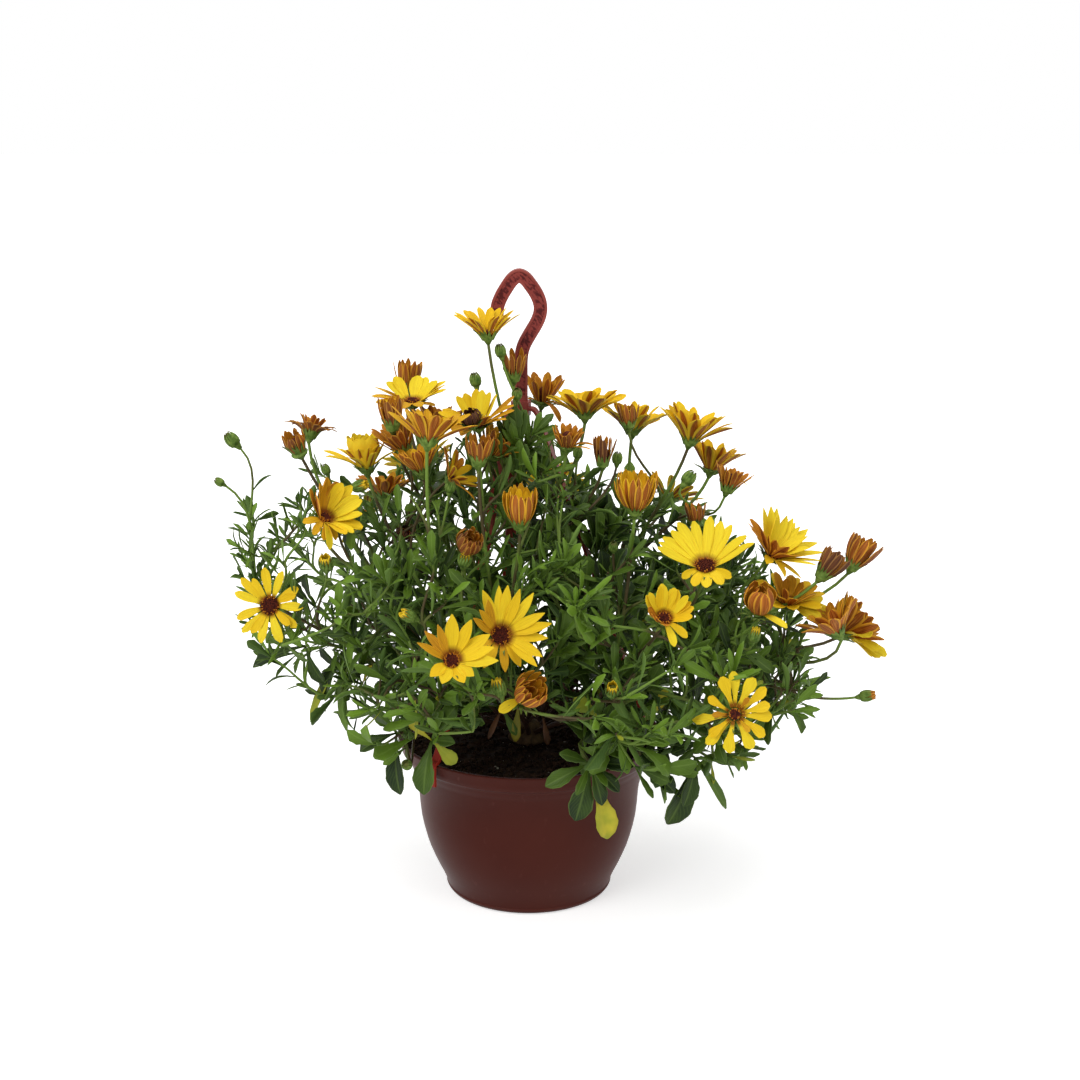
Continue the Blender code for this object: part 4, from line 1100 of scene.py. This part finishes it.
crown = {"seat": (0.0125, 0.1450), "top": 0.1525}
branches = {
    "branch_centre": {
        "facet": None, "fork": (4, 12, 270), "heads": (1, 28, 2, 4, 13, 17, 37), "shoots": 46,
        "goals": ((-6, -30, 400), (4, -35, 430), (12, -30, 385), (-22, -50, 402), (-30, -62, 364),
            (10, -38, 425), (18, -40, 405), (28, -42, 378), (40, -45, 350), (-36, -68, 330)),
        "buds": (("green", (-21, -30, 480), 0.95, 12, 200), ("green", (-42, -30, 455), 1.0, 10, 190),
            ("green", (-9, -36, 447), 0.9, 30, -90), ("green", (41, -30, 394), 0.85, 5, 0),
            ("green", (74, -30, 389), 0.9, 5, 0), ("withered", (-43.6, -72, 431), 1.0, 25, -120),
            ("orange", (-34, -34, 394), 1.0, 36, -5)),
        "tufts": (
            ((-18, -36, 412), ("middle", 0.25, -25, -38, 432), ("middle", 0.5, -17, -38, 435),
             ("middle", 0.25, -27, -40, 415), ("middle", 0.5, -21, -44, 393),
             ("middle", 0.25, -10, -40, 427), ("middle", 0.25, -12, -44, 396)),
            ((3, -38, 418), ("middle", 0.5, 11, -38, 438), ("middle", 0.25, 21, -40, 437),
             ("middle", 0.5, 25, -40, 427)),
            ((1, -34, 408), ("middle", 0.25, 17, -36, 428), ("middle", 0.5, 27, -38, 420),
             ("middle", 0.25, 16, -42, 402), ("middle", 0.5, -4, -40, 440)),
            ((12, -40, 386), ("middle", 0.5, 30, -44, 402), ("middle", 0.25, 34, -46, 384),
             ("middle", 0.5, 18, -46, 366), ("narrow", 0.75, 40, -44, 394)),
            ((30, -46, 352), ("middle", 0.25, 52, -50, 362), ("middle", 0.5, 50, -52, 340),
             ("middle", 0.25, 36, -54, 326)),
            ((-7, -40, 405), ("broad", 0.25, -11, -44, 444), ("middle", 0.5, -17, -46, 436),
             ("middle", 0.25, -2, -44, 441), ("middle", 0.5, -14, -50, 431),
             ("narrow", 0.75, -21, -46, 425)),
            ((-7, -44, 378), ("middle", 0.5, -13, -48, 411), ("middle", 0.25, -2, -48, 413),
             ("middle", 0.25, -18, -50, 402), ("middle", 0.5, -7, -50, 417)),
            ((57, -35, 309), ("broad", 0.0, 51, -38, 360), ("middle", 0.25, 60, -40, 356),
             ("broad", 0.25, 45, -40, 335), ("middle", 0.0, 66, -42, 333)),
            ((61, -40, 281), ("middle", 0.25, 52, -44, 317), ("broad", 0.0, 63, -44, 321),
             ("middle", 0.0, 71, -46, 302)),
        ),
    },
    "branch_right": {
        "facet": 0, "fork": (115, -20, 205), "heads": (19, 21, 22, 35, 36), "shoots": 40,
        "goals": ((236, -40, 193), (228, -80, 200), (222, -60, 225)),
        "buds": (("showing", (281, -40, 188), 1.0, 78, -8), ("burst", (217, -50, 269), 1.0, 14, -60)),
    },
    "branch_right_high": {
        "facet": 30, "fork": (75, 35, 260), "heads": (14, 15, 16), "shoots": 34,
        "buds": (("halfOpen", (165, -32, 364), 1.0, 20, 20), ("green", (128, -40, 374), 1.15, 42, 20),
            ("slim", (84.6, -20, 417), 0.9, 4, 180)),
    },
    "branch_back_right": {"facet": 60, "fork": (45, 85, 230), "heads": (39, 40), "shoots": 38},
    "branch_back_left": {"facet": 120, "fork": (-50, 85, 230), "heads": (38, 41), "shoots": 38},
    "branch_left_high": {
        "facet": 150, "fork": (-65, 30, 280), "heads": (3, 6, 11, 29, 30), "shoots": 30,
        "buds": (("withered", (-107, -30, 325), 1.0, 40, -60),
            ("halfOpen", (-101, -34, 398), 1.2, 22, 200), ("orange", (-86, -58, 386), 0.95, 14, 180)),
    },
    "branch_left": {
        "facet": 180, "fork": (-105, 0, 240), "heads": (8, 9), "shoots": 20,
        "goals": ((-175, -10, 225, 0.1), (-215, -10, 240, 0.3), (-235, 0, 275, 1.5), (-240, 8, 318, 1.5),
            (-225, 12, 300, 1.5), (-202, 0, 330, 1.2)),
        "buds": (("green", (-247, 20, 393), 1.2, 42, 185), ("green", (-258, 0, 365), 0.75, 55, 190),
            ("green", (-168, -20, 378), 0.8, 20, 180)),
    },
    "branch_left_low": {
        "facet": 210, "fork": (-100, -45, 195), "heads": (12,), "shoots": 36,
        "buds": (("green", (-98, -128, 160), 0.9, 60, -100), ("lemon", (-164, -100, 318), 1.15, 30, -90)),
        "tufts": (
            ((-110, -88, 174), ("rim", 0.0, -142, -100, 163), ("rim", 0.0, -109, -108, 124),
             ("rim", 0.25, -128, -94, 196), ("middle", 1.7, -124, -82, 186)),
            ((-196, -40, 228), ("rim", 0.0, -236, -50, 221), ("middle", 0.5, -216, -46, 209),
             ("middle", 0.5, -222, -30, 240)),
            ((-158, -48, 232), ("rim", 0.0, -175, -62, 196), ("narrow", 1.7, -186, -60, 176),
             ("narrow", 0.75, -156, -60, 166)),
            ((-188, -56, 240), ("broad", 0.0, -232, -60, 226), ("middle", 0.5, -198, -60, 217),
             ("middle", 0.25, -206, -58, 246), ("rim", 0.0, -173, -60, 205)),
            ((-180, -50, 273), ("broad", 0.0, -202, -54, 297), ("middle", 0.25, -166, -54, 298),
             ("broad", 0.0, -188, -52, 302), ("middle", 0.0, -192, -54, 255),
             ("middle", 0.5, -174, -56, 251)),
        ),
    },
    "branch_left_front": {
        "facet": 240, "fork": (-62, -75, 245), "heads": (5, 7, 10), "shoots": 46,
        "goals": ((-75, -118, 215), (-60, -125, 245), (-88, -108, 190), (-48, -110, 290),
            (-105, -125, 235), (-43, -80, 300), (-50, -90, 265), (-58, -98, 232), (-64, -105, 205)),
        "buds": (("lemon", (-87, -146, 292), 1.0, 60, 200), ("lemon", (-147, -60, 378), 1.0, 70, -20),
            ("green", (-64, -90, 380), 0.9, 10, 0), ("open", (-68, -62, 384), 0.78, 52, -12)),
        "tufts": (
            ((-79, -121, 180), ("rim", 0.25, -87, -142, 139), ("rim", 1.7, -58, -118, 157),
             ("rim", 0.25, -60, -140, 186), ("middle", 2.0, -98, -130, 200),
             ("broad", 0.25, -59, -124, 212), ("middle", 0.5, -70, -124, 207)),
        ),
    },
    "branch_front": {
        "facet": 270, "fork": (-18, -85, 225), "heads": (25, 26, 27, 31, 32, 33), "shoots": 40,
        "buds": (("lemon", (-20, -176, 234), 1.15, 15, 160), ("lemon", (-52, -130, 330), 1.1, 24, -60)),
        "tufts": (
            ((-8, -60, 191), ("middle", 2.6, -11, -66, 157)),
            ((-22, -60, 186), ("middle", 0.25, -10, -66, 163), ("narrow", 3.0, -34, -66, 160)),
            ((12, -50, 176), ("middle", 3.0, 17, -56, 150)),
        ),
    },
    "branch_front_right": {
        "facet": 300, "fork": (60, -85, 205), "heads": (23, 24, 34), "shoots": 52,
        "buds": (("lemon", (67.5, -165, 234), 1.15, 40, -90), ("green", (70, -90, 332), 0.8, 30, -90)),
        "tufts": (
            ((51, -137, 166), ("rim", 0.25, 13, -150, 151), ("rim", 0.0, 39, -154, 120),
             ("rim", 0.0, 62, -152, 134), ("middle", 0.25, 27, -160, 184), ("rim", 0.0, 86, -156, 172),
             ("middle", 0.5, 56, -165, 190), ("middle", 0.25, 40, -164, 150),
             ("middle", 0.5, 64, -164, 158), ("middle", 0.25, 72, -152, 190), ("rim", 0.0, 76, -150, 146)),
            ((54, -138, 155), ("rim", 2.0, 68, -146, 100)),
        ),
    },
    "branch_right_front": {
        "facet": 330, "fork": (95, -60, 215), "heads": (18, 20), "shoots": 52,
        "buds": (("slim", (140, -60, 343), 0.85, 6, 180), ("lemon", (182, -120, 262), 0.95, 15, 0)),
        "tufts": (
            ((94, -112, 155), ("rim", 0.0, 124, -122, 134), ("middle", 0.5, 112, -128, 160)),
            ((106, -76, 170), ("rim", 0.25, 96, -96, 142), ("rim", 0.0, 116, -92, 140),
             ("middle", 0.25, 128, -90, 158), ("middle", 0.25, 89, -100, 164),
             ("middle", 0.5, 115, -84, 192), ("middle", 0.25, 124, -78, 176)),
            ((140, -100, 156), ("rim", 0.0, 118, -112, 97), ("rim", 0.0, 131, -118, 118),
             ("narrow", 0.5, 168, -92, 108), ("middle", 0.5, 186, -82, 146),
             ("middle", 0.75, 150, -130, 165)),
            ((138, -90, 199), ("broad", 0.25, 133, -95, 231), ("broad", 0.0, 143, -95, 228),
             ("middle", 0.25, 124, -95, 224), ("middle", 0.0, 118, -95, 212)),
            ((145, -98, 169), ("broad", 0.0, 119, -104, 162), ("middle", 0.25, 125, -104, 152),
             ("middle", 0.0, 122, -104, 170)),
        ),
    },
}
foliage = {
    "seed": 70,
    "top": ((-0.262, 0.335), (-0.22, 0.362), (-0.15, 0.385), (-0.06, 0.402), (0.0, 0.418), (0.028, 0.388),
            (0.055, 0.364), (0.10, 0.358), (0.15, 0.335), (0.19, 0.298), (0.235, 0.246), (0.29, 0.210)),
    "low": ((-0.262, 0.245), (-0.22, 0.208), (-0.17, 0.178), (-0.12, 0.148), (-0.05, 0.150), (0.05, 0.150),
            (0.11, 0.122), (0.16, 0.134), (0.19, 0.168), (0.25, 0.212)),
    "depth": 0.215,
    "halfWidth": 0.29,
    "middle": 0.01,
    "waist": 0.22,
    "outside": (0.28, 0.215, 0.21),
    "left": -0.258,
    "right": 0.232,
    "mainRadius": 0.0025,
    "sideRadius": 0.0014,
    "twigRadius": 0.00105,
    "thin": -0.155,
}
# leaves along a stem: the first and last share of its length, their spacing, and how many in its end tuft
dressing = {
    "trunk": (0.30, 1.0, 0.011, 2),
    "stalk": (0.10, 0.62, 0.012, 0),
    "shoot": (0.20, 0.95, 0.010, 5),
}
attaching = {"below": 0.045, "tooNear": 0.03, "penalty": 0.04}
# how far leaves keep off the soil and the rim, and out of the view over the front rim on to the soil
keepOff = {
    "soil": {"radius": 0.112, "top": 0.139},
    "rim": {"inside": 0.106, "outside": 0.1185, "top": 0.149, "lip": 0.145},
    "view": {"left": -0.066, "right": 0.042, "back": -0.02, "from": -0.05, "slope": 0.36},
    "sill": ((-0.066, 0.158), (-0.045, 0.160), (-0.030, 0.186), (0.015, 0.186), (0.036, 0.160)),
    "head": (0.085, 0.030),
    "bud": (0.022, 0.003),
    "budView": (0.110, 0.002),
    "stalk": {"from": 0.002, "radius": 0.008},
}
# spaces kept clear in front of flower heads and buds, as (seat, axis, reach, widest)
clearings = [(seat, axis, *keepOff["head"]) for seat, axis in headSeats.values()]
for plan in branches.values():
    for kind, place, _, tilt, compass in plan.get("buds", ()):
        clearings.append((millimetres(*place), leaning(tilt, compass), *keepOff["bud"]))
        if kind != "withered":
            clearings.append((millimetres(*place), leaning(74, -90), *keepOff["budView"]))
seats, axes, reaches, flares = (np.array(column) for column in zip(*clearings))


def envelope(x):
    # lowest and highest leaf at a place across the plant, and how far it reaches to front and back
    low, top = (np.interp(x, *(tuple(column) for column in zip(*foliage[name]))) for name in ("low", "top"))
    aside = (x - foliage["middle"]) / foliage["halfWidth"]
    return low, top, foliage["depth"] * math.sqrt(max(0.0, 1 - aside**2))


def insideDome(point, slack=0.0):
    low, top, half = envelope(point.x)
    across = abs(point.y) / (half + slack + 1e-6)
    if across > 1 or not foliage["left"] - slack * 0.3 < point.x < foliage["right"] + slack:
        return False
    middle = low + (top - low) * 0.45
    shrink = math.sqrt(1 - across * across)
    return middle - (middle - low) * shrink - slack < point.z < middle + (top - middle) * shrink + slack


def clearSpot(point, room):
    # keeps leaves out of the pot, the soil, the flower heads and the view in over the front rim
    radius = math.hypot(point.x, point.y)
    soilZone, rim, view = keepOff["soil"], keepOff["rim"], keepOff["view"]
    if point.z < soilZone["top"] and radius < soilZone["radius"]:
        return False
    if point.z < rim["top"] + room and radius < rim["outside"] + room:
        if radius > rim["inside"] - room or point.z < rim["lip"]:
            return False
    sill = np.interp(point.x, *zip(*keepOff["sill"])) + view["slope"] * max(0.0, view["from"] - point.y)
    if view["left"] < point.x < view["right"] and point.y < view["back"] and point.z < sill:
        return False
    away = np.array(point) - seats
    along = (away * axes).sum(axis=1)
    off = np.sqrt(np.maximum((away * away).sum(axis=1) - along * along, 0))
    within = (along > keepOff["stalk"]["from"]) & (along < reaches)
    return not (within & (off < keepOff["stalk"]["radius"] + np.minimum(along, flares))).any()


def stemRoute(start, leaving, goal, arriving, count, pull=0.3):
    reach = (goal - start).length
    return bezier(start, start + leaving * reach * pull, goal - arriving * reach * pull, goal, count)


class Growth:
    # what one branch is made of while it grows: its stems as routes, and copies of leaves and buds

    def __init__(self, dice):
        self.dice = dice
        self.stems = []
        self.copies = []

    def stem(self, route, foot, tip):
        self.stems.append((route, foot, tip))

    def copy(self, mesh, matrix):
        thing = linked(mesh.name, mesh)
        thing.matrix_world = matrix
        self.copies.append(thing)

    def leaf(self, base, direction, up, length, kind, tone, bend=None):
        direction = direction.normalized()
        side = direction.cross(up).normalized()
        lifted = side.cross(direction)
        patterns = leafPatterns[kind][tone]
        bent = self.dice.choice(patterns) if bend is None else patterns[bend]
        wide = length * self.dice.uniform(0.85, 1.2)
        self.copy(bent, Matrix((
            (side.x * wide, direction.x * length, lifted.x * length, base.x),
            (side.y * wide, direction.y * length, lifted.y * length, base.y),
            (side.z * wide, direction.z * length, lifted.z * length, base.z),
            (0, 0, 0, 1),
        )))


def outwardness(point):
    # 0 in the middle of the plant and about 1 at its outside
    wide, deep, tall = foliage["outside"]
    x, z = point.x - foliage["middle"], point.z - foliage["waist"]
    return math.hypot(x / wide, point.y / deep, z / tall)


def leafSize(point, dice):
    # small and narrow at the top and the sides, broad and toothed near the rim and inside
    pick = dice.random()
    if point.x < foliage["thin"] and point.z > 0.24:
        return dice.choice(("narrow", "narrow", "middle")), dice.uniform(0.016, 0.034)
    if point.z < 0.20 and pick < (0.5 if point.x < 0.10 else 0.2):
        return "broad", dice.uniform(0.034, 0.054)
    if outwardness(point) < 0.62 and pick < 0.45:
        return "broad", dice.uniform(0.030, 0.046)
    if pick < (0.75 if point.z < 0.20 or outwardness(point) < 0.6 else 0.34):
        return "middle", dice.uniform(0.026, 0.046)
    return "narrow", dice.uniform(0.018, 0.042)


def leafToneWithShade(point, dice):
    # lighter outside and darker within, where the darker tone is painted shade for leaves deep in the
    # plant; a few leaves are turning yellow
    if point.z < 0.24 and dice.random() < 0.03:
        return dice.choice((1.7, 2.0))
    return leafTones[min(4, max(0, round(outwardness(point) * 2.5 + dice.uniform(-2.1, 1.7))))]


def placeLeaf(growth, base, along, turn, splay, scale):
    dice = growth.dice
    side = along.orthogonal().normalized()
    outward = side * math.cos(turn) + along.cross(side) * math.sin(turn)
    kind, length = leafSize(base, dice)
    length *= scale
    direction = outward * splay + along * 0.65 + Vector((0, 0, dice.uniform(-0.12, 0.26)))
    direction.normalize()
    spots = [base + direction * length * share for share in (0.55, 1.0)]
    if insideDome(spots[1], 0.018) and all(clearSpot(spot, 0.004) for spot in spots):
        growth.leaf(base, direction, along * 0.9 - outward * 0.6, length, kind, leafToneWithShade(spots[1], dice))


def dressStem(growth, route, first, last, spacing, cluster):
    # leaves in a spiral along a stem, and a tuft at its end
    dice = growth.dice
    turn = dice.uniform(0, 2 * math.pi)
    walked = np.concatenate([[0], np.cumsum([(b - a).length for a, b in zip(route, route[1:])])])
    spot = walked[-1] * first + dice.uniform(0, spacing)
    while spot < walked[-1] * last:
        k = int(np.searchsorted(walked, spot)) - 1
        base = route[k].lerp(route[k + 1], float((spot - walked[k]) / (walked[k + 1] - walked[k])))
        turn += 2.4 + dice.uniform(-0.5, 0.5)
        placeLeaf(growth, base, (route[k + 1] - route[k]).normalized(), turn, 0.75, 1.0)
        spot += spacing * dice.uniform(0.7, 1.4)
    along = (route[-1] - route[-2]).normalized()
    for k in range(cluster):
        turn += 2.4
        placeLeaf(growth, route[-1] - along * dice.uniform(0, 0.006), along, turn, 0.35 + 0.08 * k, 0.75)


def attachPoint(growth, goal):
    # the nearest place on the stems so far, a little below the goal
    best = (math.inf, None, None)
    for route, *_ in growth.stems:
        for k in range(1, len(route) - 1):
            reach = goal - route[k]
            cost = reach.length + 0.5 * abs(reach.z - attaching["below"])
            if reach.length < attaching["tooNear"]:
                cost += attaching["penalty"]
            if cost < best[0]:
                best = (cost, route[k], (route[k + 1] - route[k]).normalized())
    return best[1], best[2]


def growShoot(growth, goal, upward=0.22):
    start, leaving = attachPoint(growth, goal)
    arriving = (Vector((goal.x, goal.y, 0)) * 1.6 + Vector((0, 0, upward))).normalized()
    route = stemRoute(start, leaving, goal, arriving, 7)
    growth.stem(route, foliage["twigRadius"] * 1.3, foliage["twigRadius"] * 0.8)
    dressStem(growth, route, *dressing["shoot"])


def inSector(goal, facet):
    radius = math.hypot(goal.x, goal.y)
    if facet is None:
        return radius < 0.085
    reach = 28 if facet in (60, 120) else 18
    away = (math.degrees(math.atan2(goal.y, goal.x)) - facet + 180) % 360 - 180
    return radius > 0.045 and abs(away) < reach


def growShoots(growth, plan):
    dice = growth.dice
    grown, tries = 0, 0
    while grown < plan["shoots"] and tries < 5000:
        tries += 1
        x = dice.uniform(foliage["left"], foliage["right"])
        low, top, half = envelope(x)
        goal = Vector((x, dice.uniform(-half, half), dice.uniform(low, top)))
        if not (inSector(goal, plan["facet"]) and insideDome(goal) and clearSpot(goal, 0.01)):
            continue
        if outwardness(goal) < 0.5 and dice.random() < 0.4 or x < foliage["thin"] and dice.random() < 0.5:
            continue
        if (goal - attachPoint(growth, goal)[0]).length < 0.14:
            growShoot(growth, goal, 0.22 if goal.z > 0.2 else 0.02)
            grown += 1


def growTuft(growth, foot, *leaves):
    # a short twig that carries leaves whose tips are given
    foot = millimetres(*foot)
    start, leaving = attachPoint(growth, foot)
    outward = Vector((foot.x, foot.y, 0)).normalized()
    arriving = (outward + Vector((0, 0, -0.2))).normalized()
    growth.stem(stemRoute(start, leaving, foot, arriving, 7), 0.0013, 0.0010)
    for kind, tone, *tip in leaves:
        reach = millimetres(*tip) - foot
        growth.leaf(foot, reach, outward * 0.7 + Vector((0, -0.3, 0.7)), reach.length * 1.04, kind, tone, 1)


def growWitheredLeaf(growth, facet):
    # a withered leaf that hangs from the crown on to the soil
    dice = growth.dice
    turn = math.radians(facet + dice.uniform(-16, 16))
    outward = Vector((math.cos(turn), math.sin(turn), 0))
    foot = outward * dice.uniform(0.025, 0.070) + Vector((0, 0, dice.uniform(0.160, 0.180)))
    tip = foot + outward * dice.uniform(0.002, 0.016)
    tip -= Vector((0, 0, foot.z - dice.uniform(0.1355, 0.1450)))
    tip += Vector((dice.uniform(-0.008, 0.008), dice.uniform(-0.004, 0.004), 0))
    kind, tone = dice.choice(("narrow", "middle")), dice.choice((2.6, 3.0, 3.0))
    growth.leaf(foot, tip - foot, outward, (tip - foot).length, kind, tone)


def joined(name, growth):
    # all stems as one bevelled curve made a mesh, then joined with the leaf and bud copies
    curve = bpy.data.curves.new(name + "Stems", "CURVE")
    curve.dimensions = "3D"
    curve.bevel_depth = 0.001
    curve.bevel_resolution = 1
    curve.use_fill_caps = True
    for route, foot, tip in growth.stems:
        spline = curve.splines.new("POLY")
        spline.points.add(len(route) - 1)
        for k, (point, place) in enumerate(zip(spline.points, route)):
            point.co = (*place, 1)
            point.radius = (foot + (tip - foot) * k / (len(route) - 1)) / 0.001
    holder = linked(name + "Stems", curve)
    bpy.context.view_layer.update()
    graph = bpy.context.evaluated_depsgraph_get()
    mesh = bpy.data.meshes.new_from_object(holder.evaluated_get(graph))
    bpy.data.objects.remove(holder)
    mesh.name = name
    mesh.materials.clear()
    for material in plantMaterials:
        mesh.materials.append(material)
    piece = linked(name, mesh)
    bpy.context.view_layer.update()
    everything = [piece, *growth.copies]
    with bpy.context.temp_override(
        active_object=piece, object=piece, selected_objects=everything, selected_editable_objects=everything
    ):
        bpy.ops.object.join()
    mesh.shade_smooth()
    return piece


def growBranch(name, plan, dice):
    growth = Growth(dice)
    fork = millimetres(*plan["fork"])
    start, leaving = Vector((0, 0, crown["top"])), Vector((0, 0, 1))
    if plan["facet"] is not None:
        outward = leaning(90, plan["facet"])
        start = outward * crown["seat"][0] + Vector((0, 0, crown["seat"][1]))
        leaving = (outward * 0.85 + Vector((0, 0, 0.55))).normalized()
    arriving = ((fork - start).normalized() * 0.6 + Vector((0, 0, 0.4))).normalized()
    trunk = stemRoute(start, leaving, fork, arriving, 10)
    growth.stem(trunk, foliage["mainRadius"], foliage["mainRadius"] * 0.75)
    onward = (trunk[-1] - trunk[-2]).normalized()
    stalks = []
    for number in plan["heads"]:
        seat, axis = headSeats[number]
        arriving = (axis + (seat - fork).normalized() * 0.7).normalized()
        stalks.append(stemRoute(fork, onward, seat + axis * 0.0006, arriving, 12))
        growth.stem(stalks[-1], foliage["sideRadius"] * 1.2, foliage["sideRadius"])
    for x, y, z, *upward in plan.get("goals", ()):
        growShoot(growth, millimetres(x, y, z), *upward)
    for kind, place, size, tilt, compass in plan.get("buds", ()):
        axis, goal = leaning(tilt, compass), millimetres(*place)
        start, leaving = attachPoint(growth, goal - Vector((0, 0, 0.05)))
        stalks.append(stemRoute(start, leaving, goal, axis, 8, 0.36))
        growth.stem(stalks[-1], foliage["twigRadius"] * 1.2, foliage["twigRadius"])
        growth.copy(budPatterns[kind], headFrame(goal - axis * 0.0004, axis) @ Matrix.Scale(size, 4))
    growShoots(growth, plan)
    for route in stalks:
        dressStem(growth, route, *dressing["stalk"])
    dressStem(growth, trunk, *dressing["trunk"])
    for tuft in plan.get("tufts", ()):
        growTuft(growth, *tuft)
    if plan["facet"] is not None and plan["facet"] < 200:
        growWitheredLeaf(growth, plan["facet"])
    piece = joined(name.replace("branch", "leafyBranch"), growth)
    finishPiece(piece, [name])
    return len(growth.copies), sum(len(face.vertices) - 2 for face in piece.data.polygons)


for order, (name, plan) in enumerate(branches.items()):
    copies, triangles = growBranch(name, plan, random.Random(foliage["seed"] + order))
    print(name, "leaves and buds:", copies, "triangles:", triangles)


# floor, light and camera

studio = {
    "cameraPlace": (0.01005, -1.83, 0.8417),
    "cameraTilt": 16,
    "lens": 73.87,
    "floorSize": 6.0,
    "worldLight": 0.33,
}


def makeStudio():
    bm = bmesh.new()
    bmesh.ops.create_grid(bm, x_segments=1, y_segments=1, size=studio["floorSize"])
    mesh = bpy.data.meshes.new("floor")
    bm.to_mesh(mesh)
    bm.free()
    floor = linked("floor", mesh)
    floor.location = (0, 0, -0.0008)
    material, tree, shader = newMaterial("paleFloor", 0.9, (0.86, 0.86, 0.86, 1))
    path = tree.nodes.new("ShaderNodeLightPath")
    seen = computed(tree, "MAXIMUM", path.outputs["Is Camera Ray"], path.outputs["Is Glossy Ray"])
    shader.inputs["Emission Color"].default_value = (1, 1, 1, 1)
    length = tree.nodes.new("ShaderNodeVectorMath")
    length.operation = "LENGTH"
    tree.links.new(objectPlace(tree), length.inputs[0])
    glow = ranged(tree, length.outputs["Value"], 0.3, 1.2, 0.54, 1.0)
    tree.links.new(computed(tree, "MULTIPLY", seen, glow), shader.inputs["Emission Strength"])
    mesh.materials.append(material)

    for name, place, size, power in (
        ("keyLight", (-1.5, -2.0, 2.3), 1.8, 53),
        ("fillLight", (1.9, -1.6, 1.5), 1.6, 16),
        ("topLight", (0.2, 0.5, 2.6), 1.6, 25),
    ):
        light = bpy.data.lights.new(name, "AREA")
        light.energy = power
        light.size = size
        lamp = linked(name, light)
        lamp.location = place
        lamp.rotation_euler = (Vector((0, 0, 0.25)) - Vector(place)).to_track_quat("-Z", "Y").to_euler()

    world = bpy.data.worlds.new("studio")
    bpy.context.scene.world = world
    world.use_nodes = True
    tree = world.node_tree
    background = tree.nodes["Background"]
    background.inputs["Color"].default_value = (1, 1, 1, 1)
    path = tree.nodes.new("ShaderNodeLightPath")
    seen = computed(tree, "MAXIMUM", path.outputs["Is Camera Ray"], path.outputs["Is Glossy Ray"])
    seen = computed(tree, "MAXIMUM", seen, path.outputs["Is Transmission Ray"])
    strength = ranged(tree, seen, 0, 1, studio["worldLight"], 1.0)
    tree.links.new(strength, background.inputs["Strength"])

    lens = bpy.data.cameras.new("camera")
    lens.lens = studio["lens"]
    camera = linked("camera", lens)
    camera.location = studio["cameraPlace"]
    camera.rotation_euler = (math.radians(90 - studio["cameraTilt"]), 0, 0)
    bpy.context.scene.camera = camera
    bpy.context.scene.view_settings.view_transform = "Standard"


makeStudio()
print("studio made")
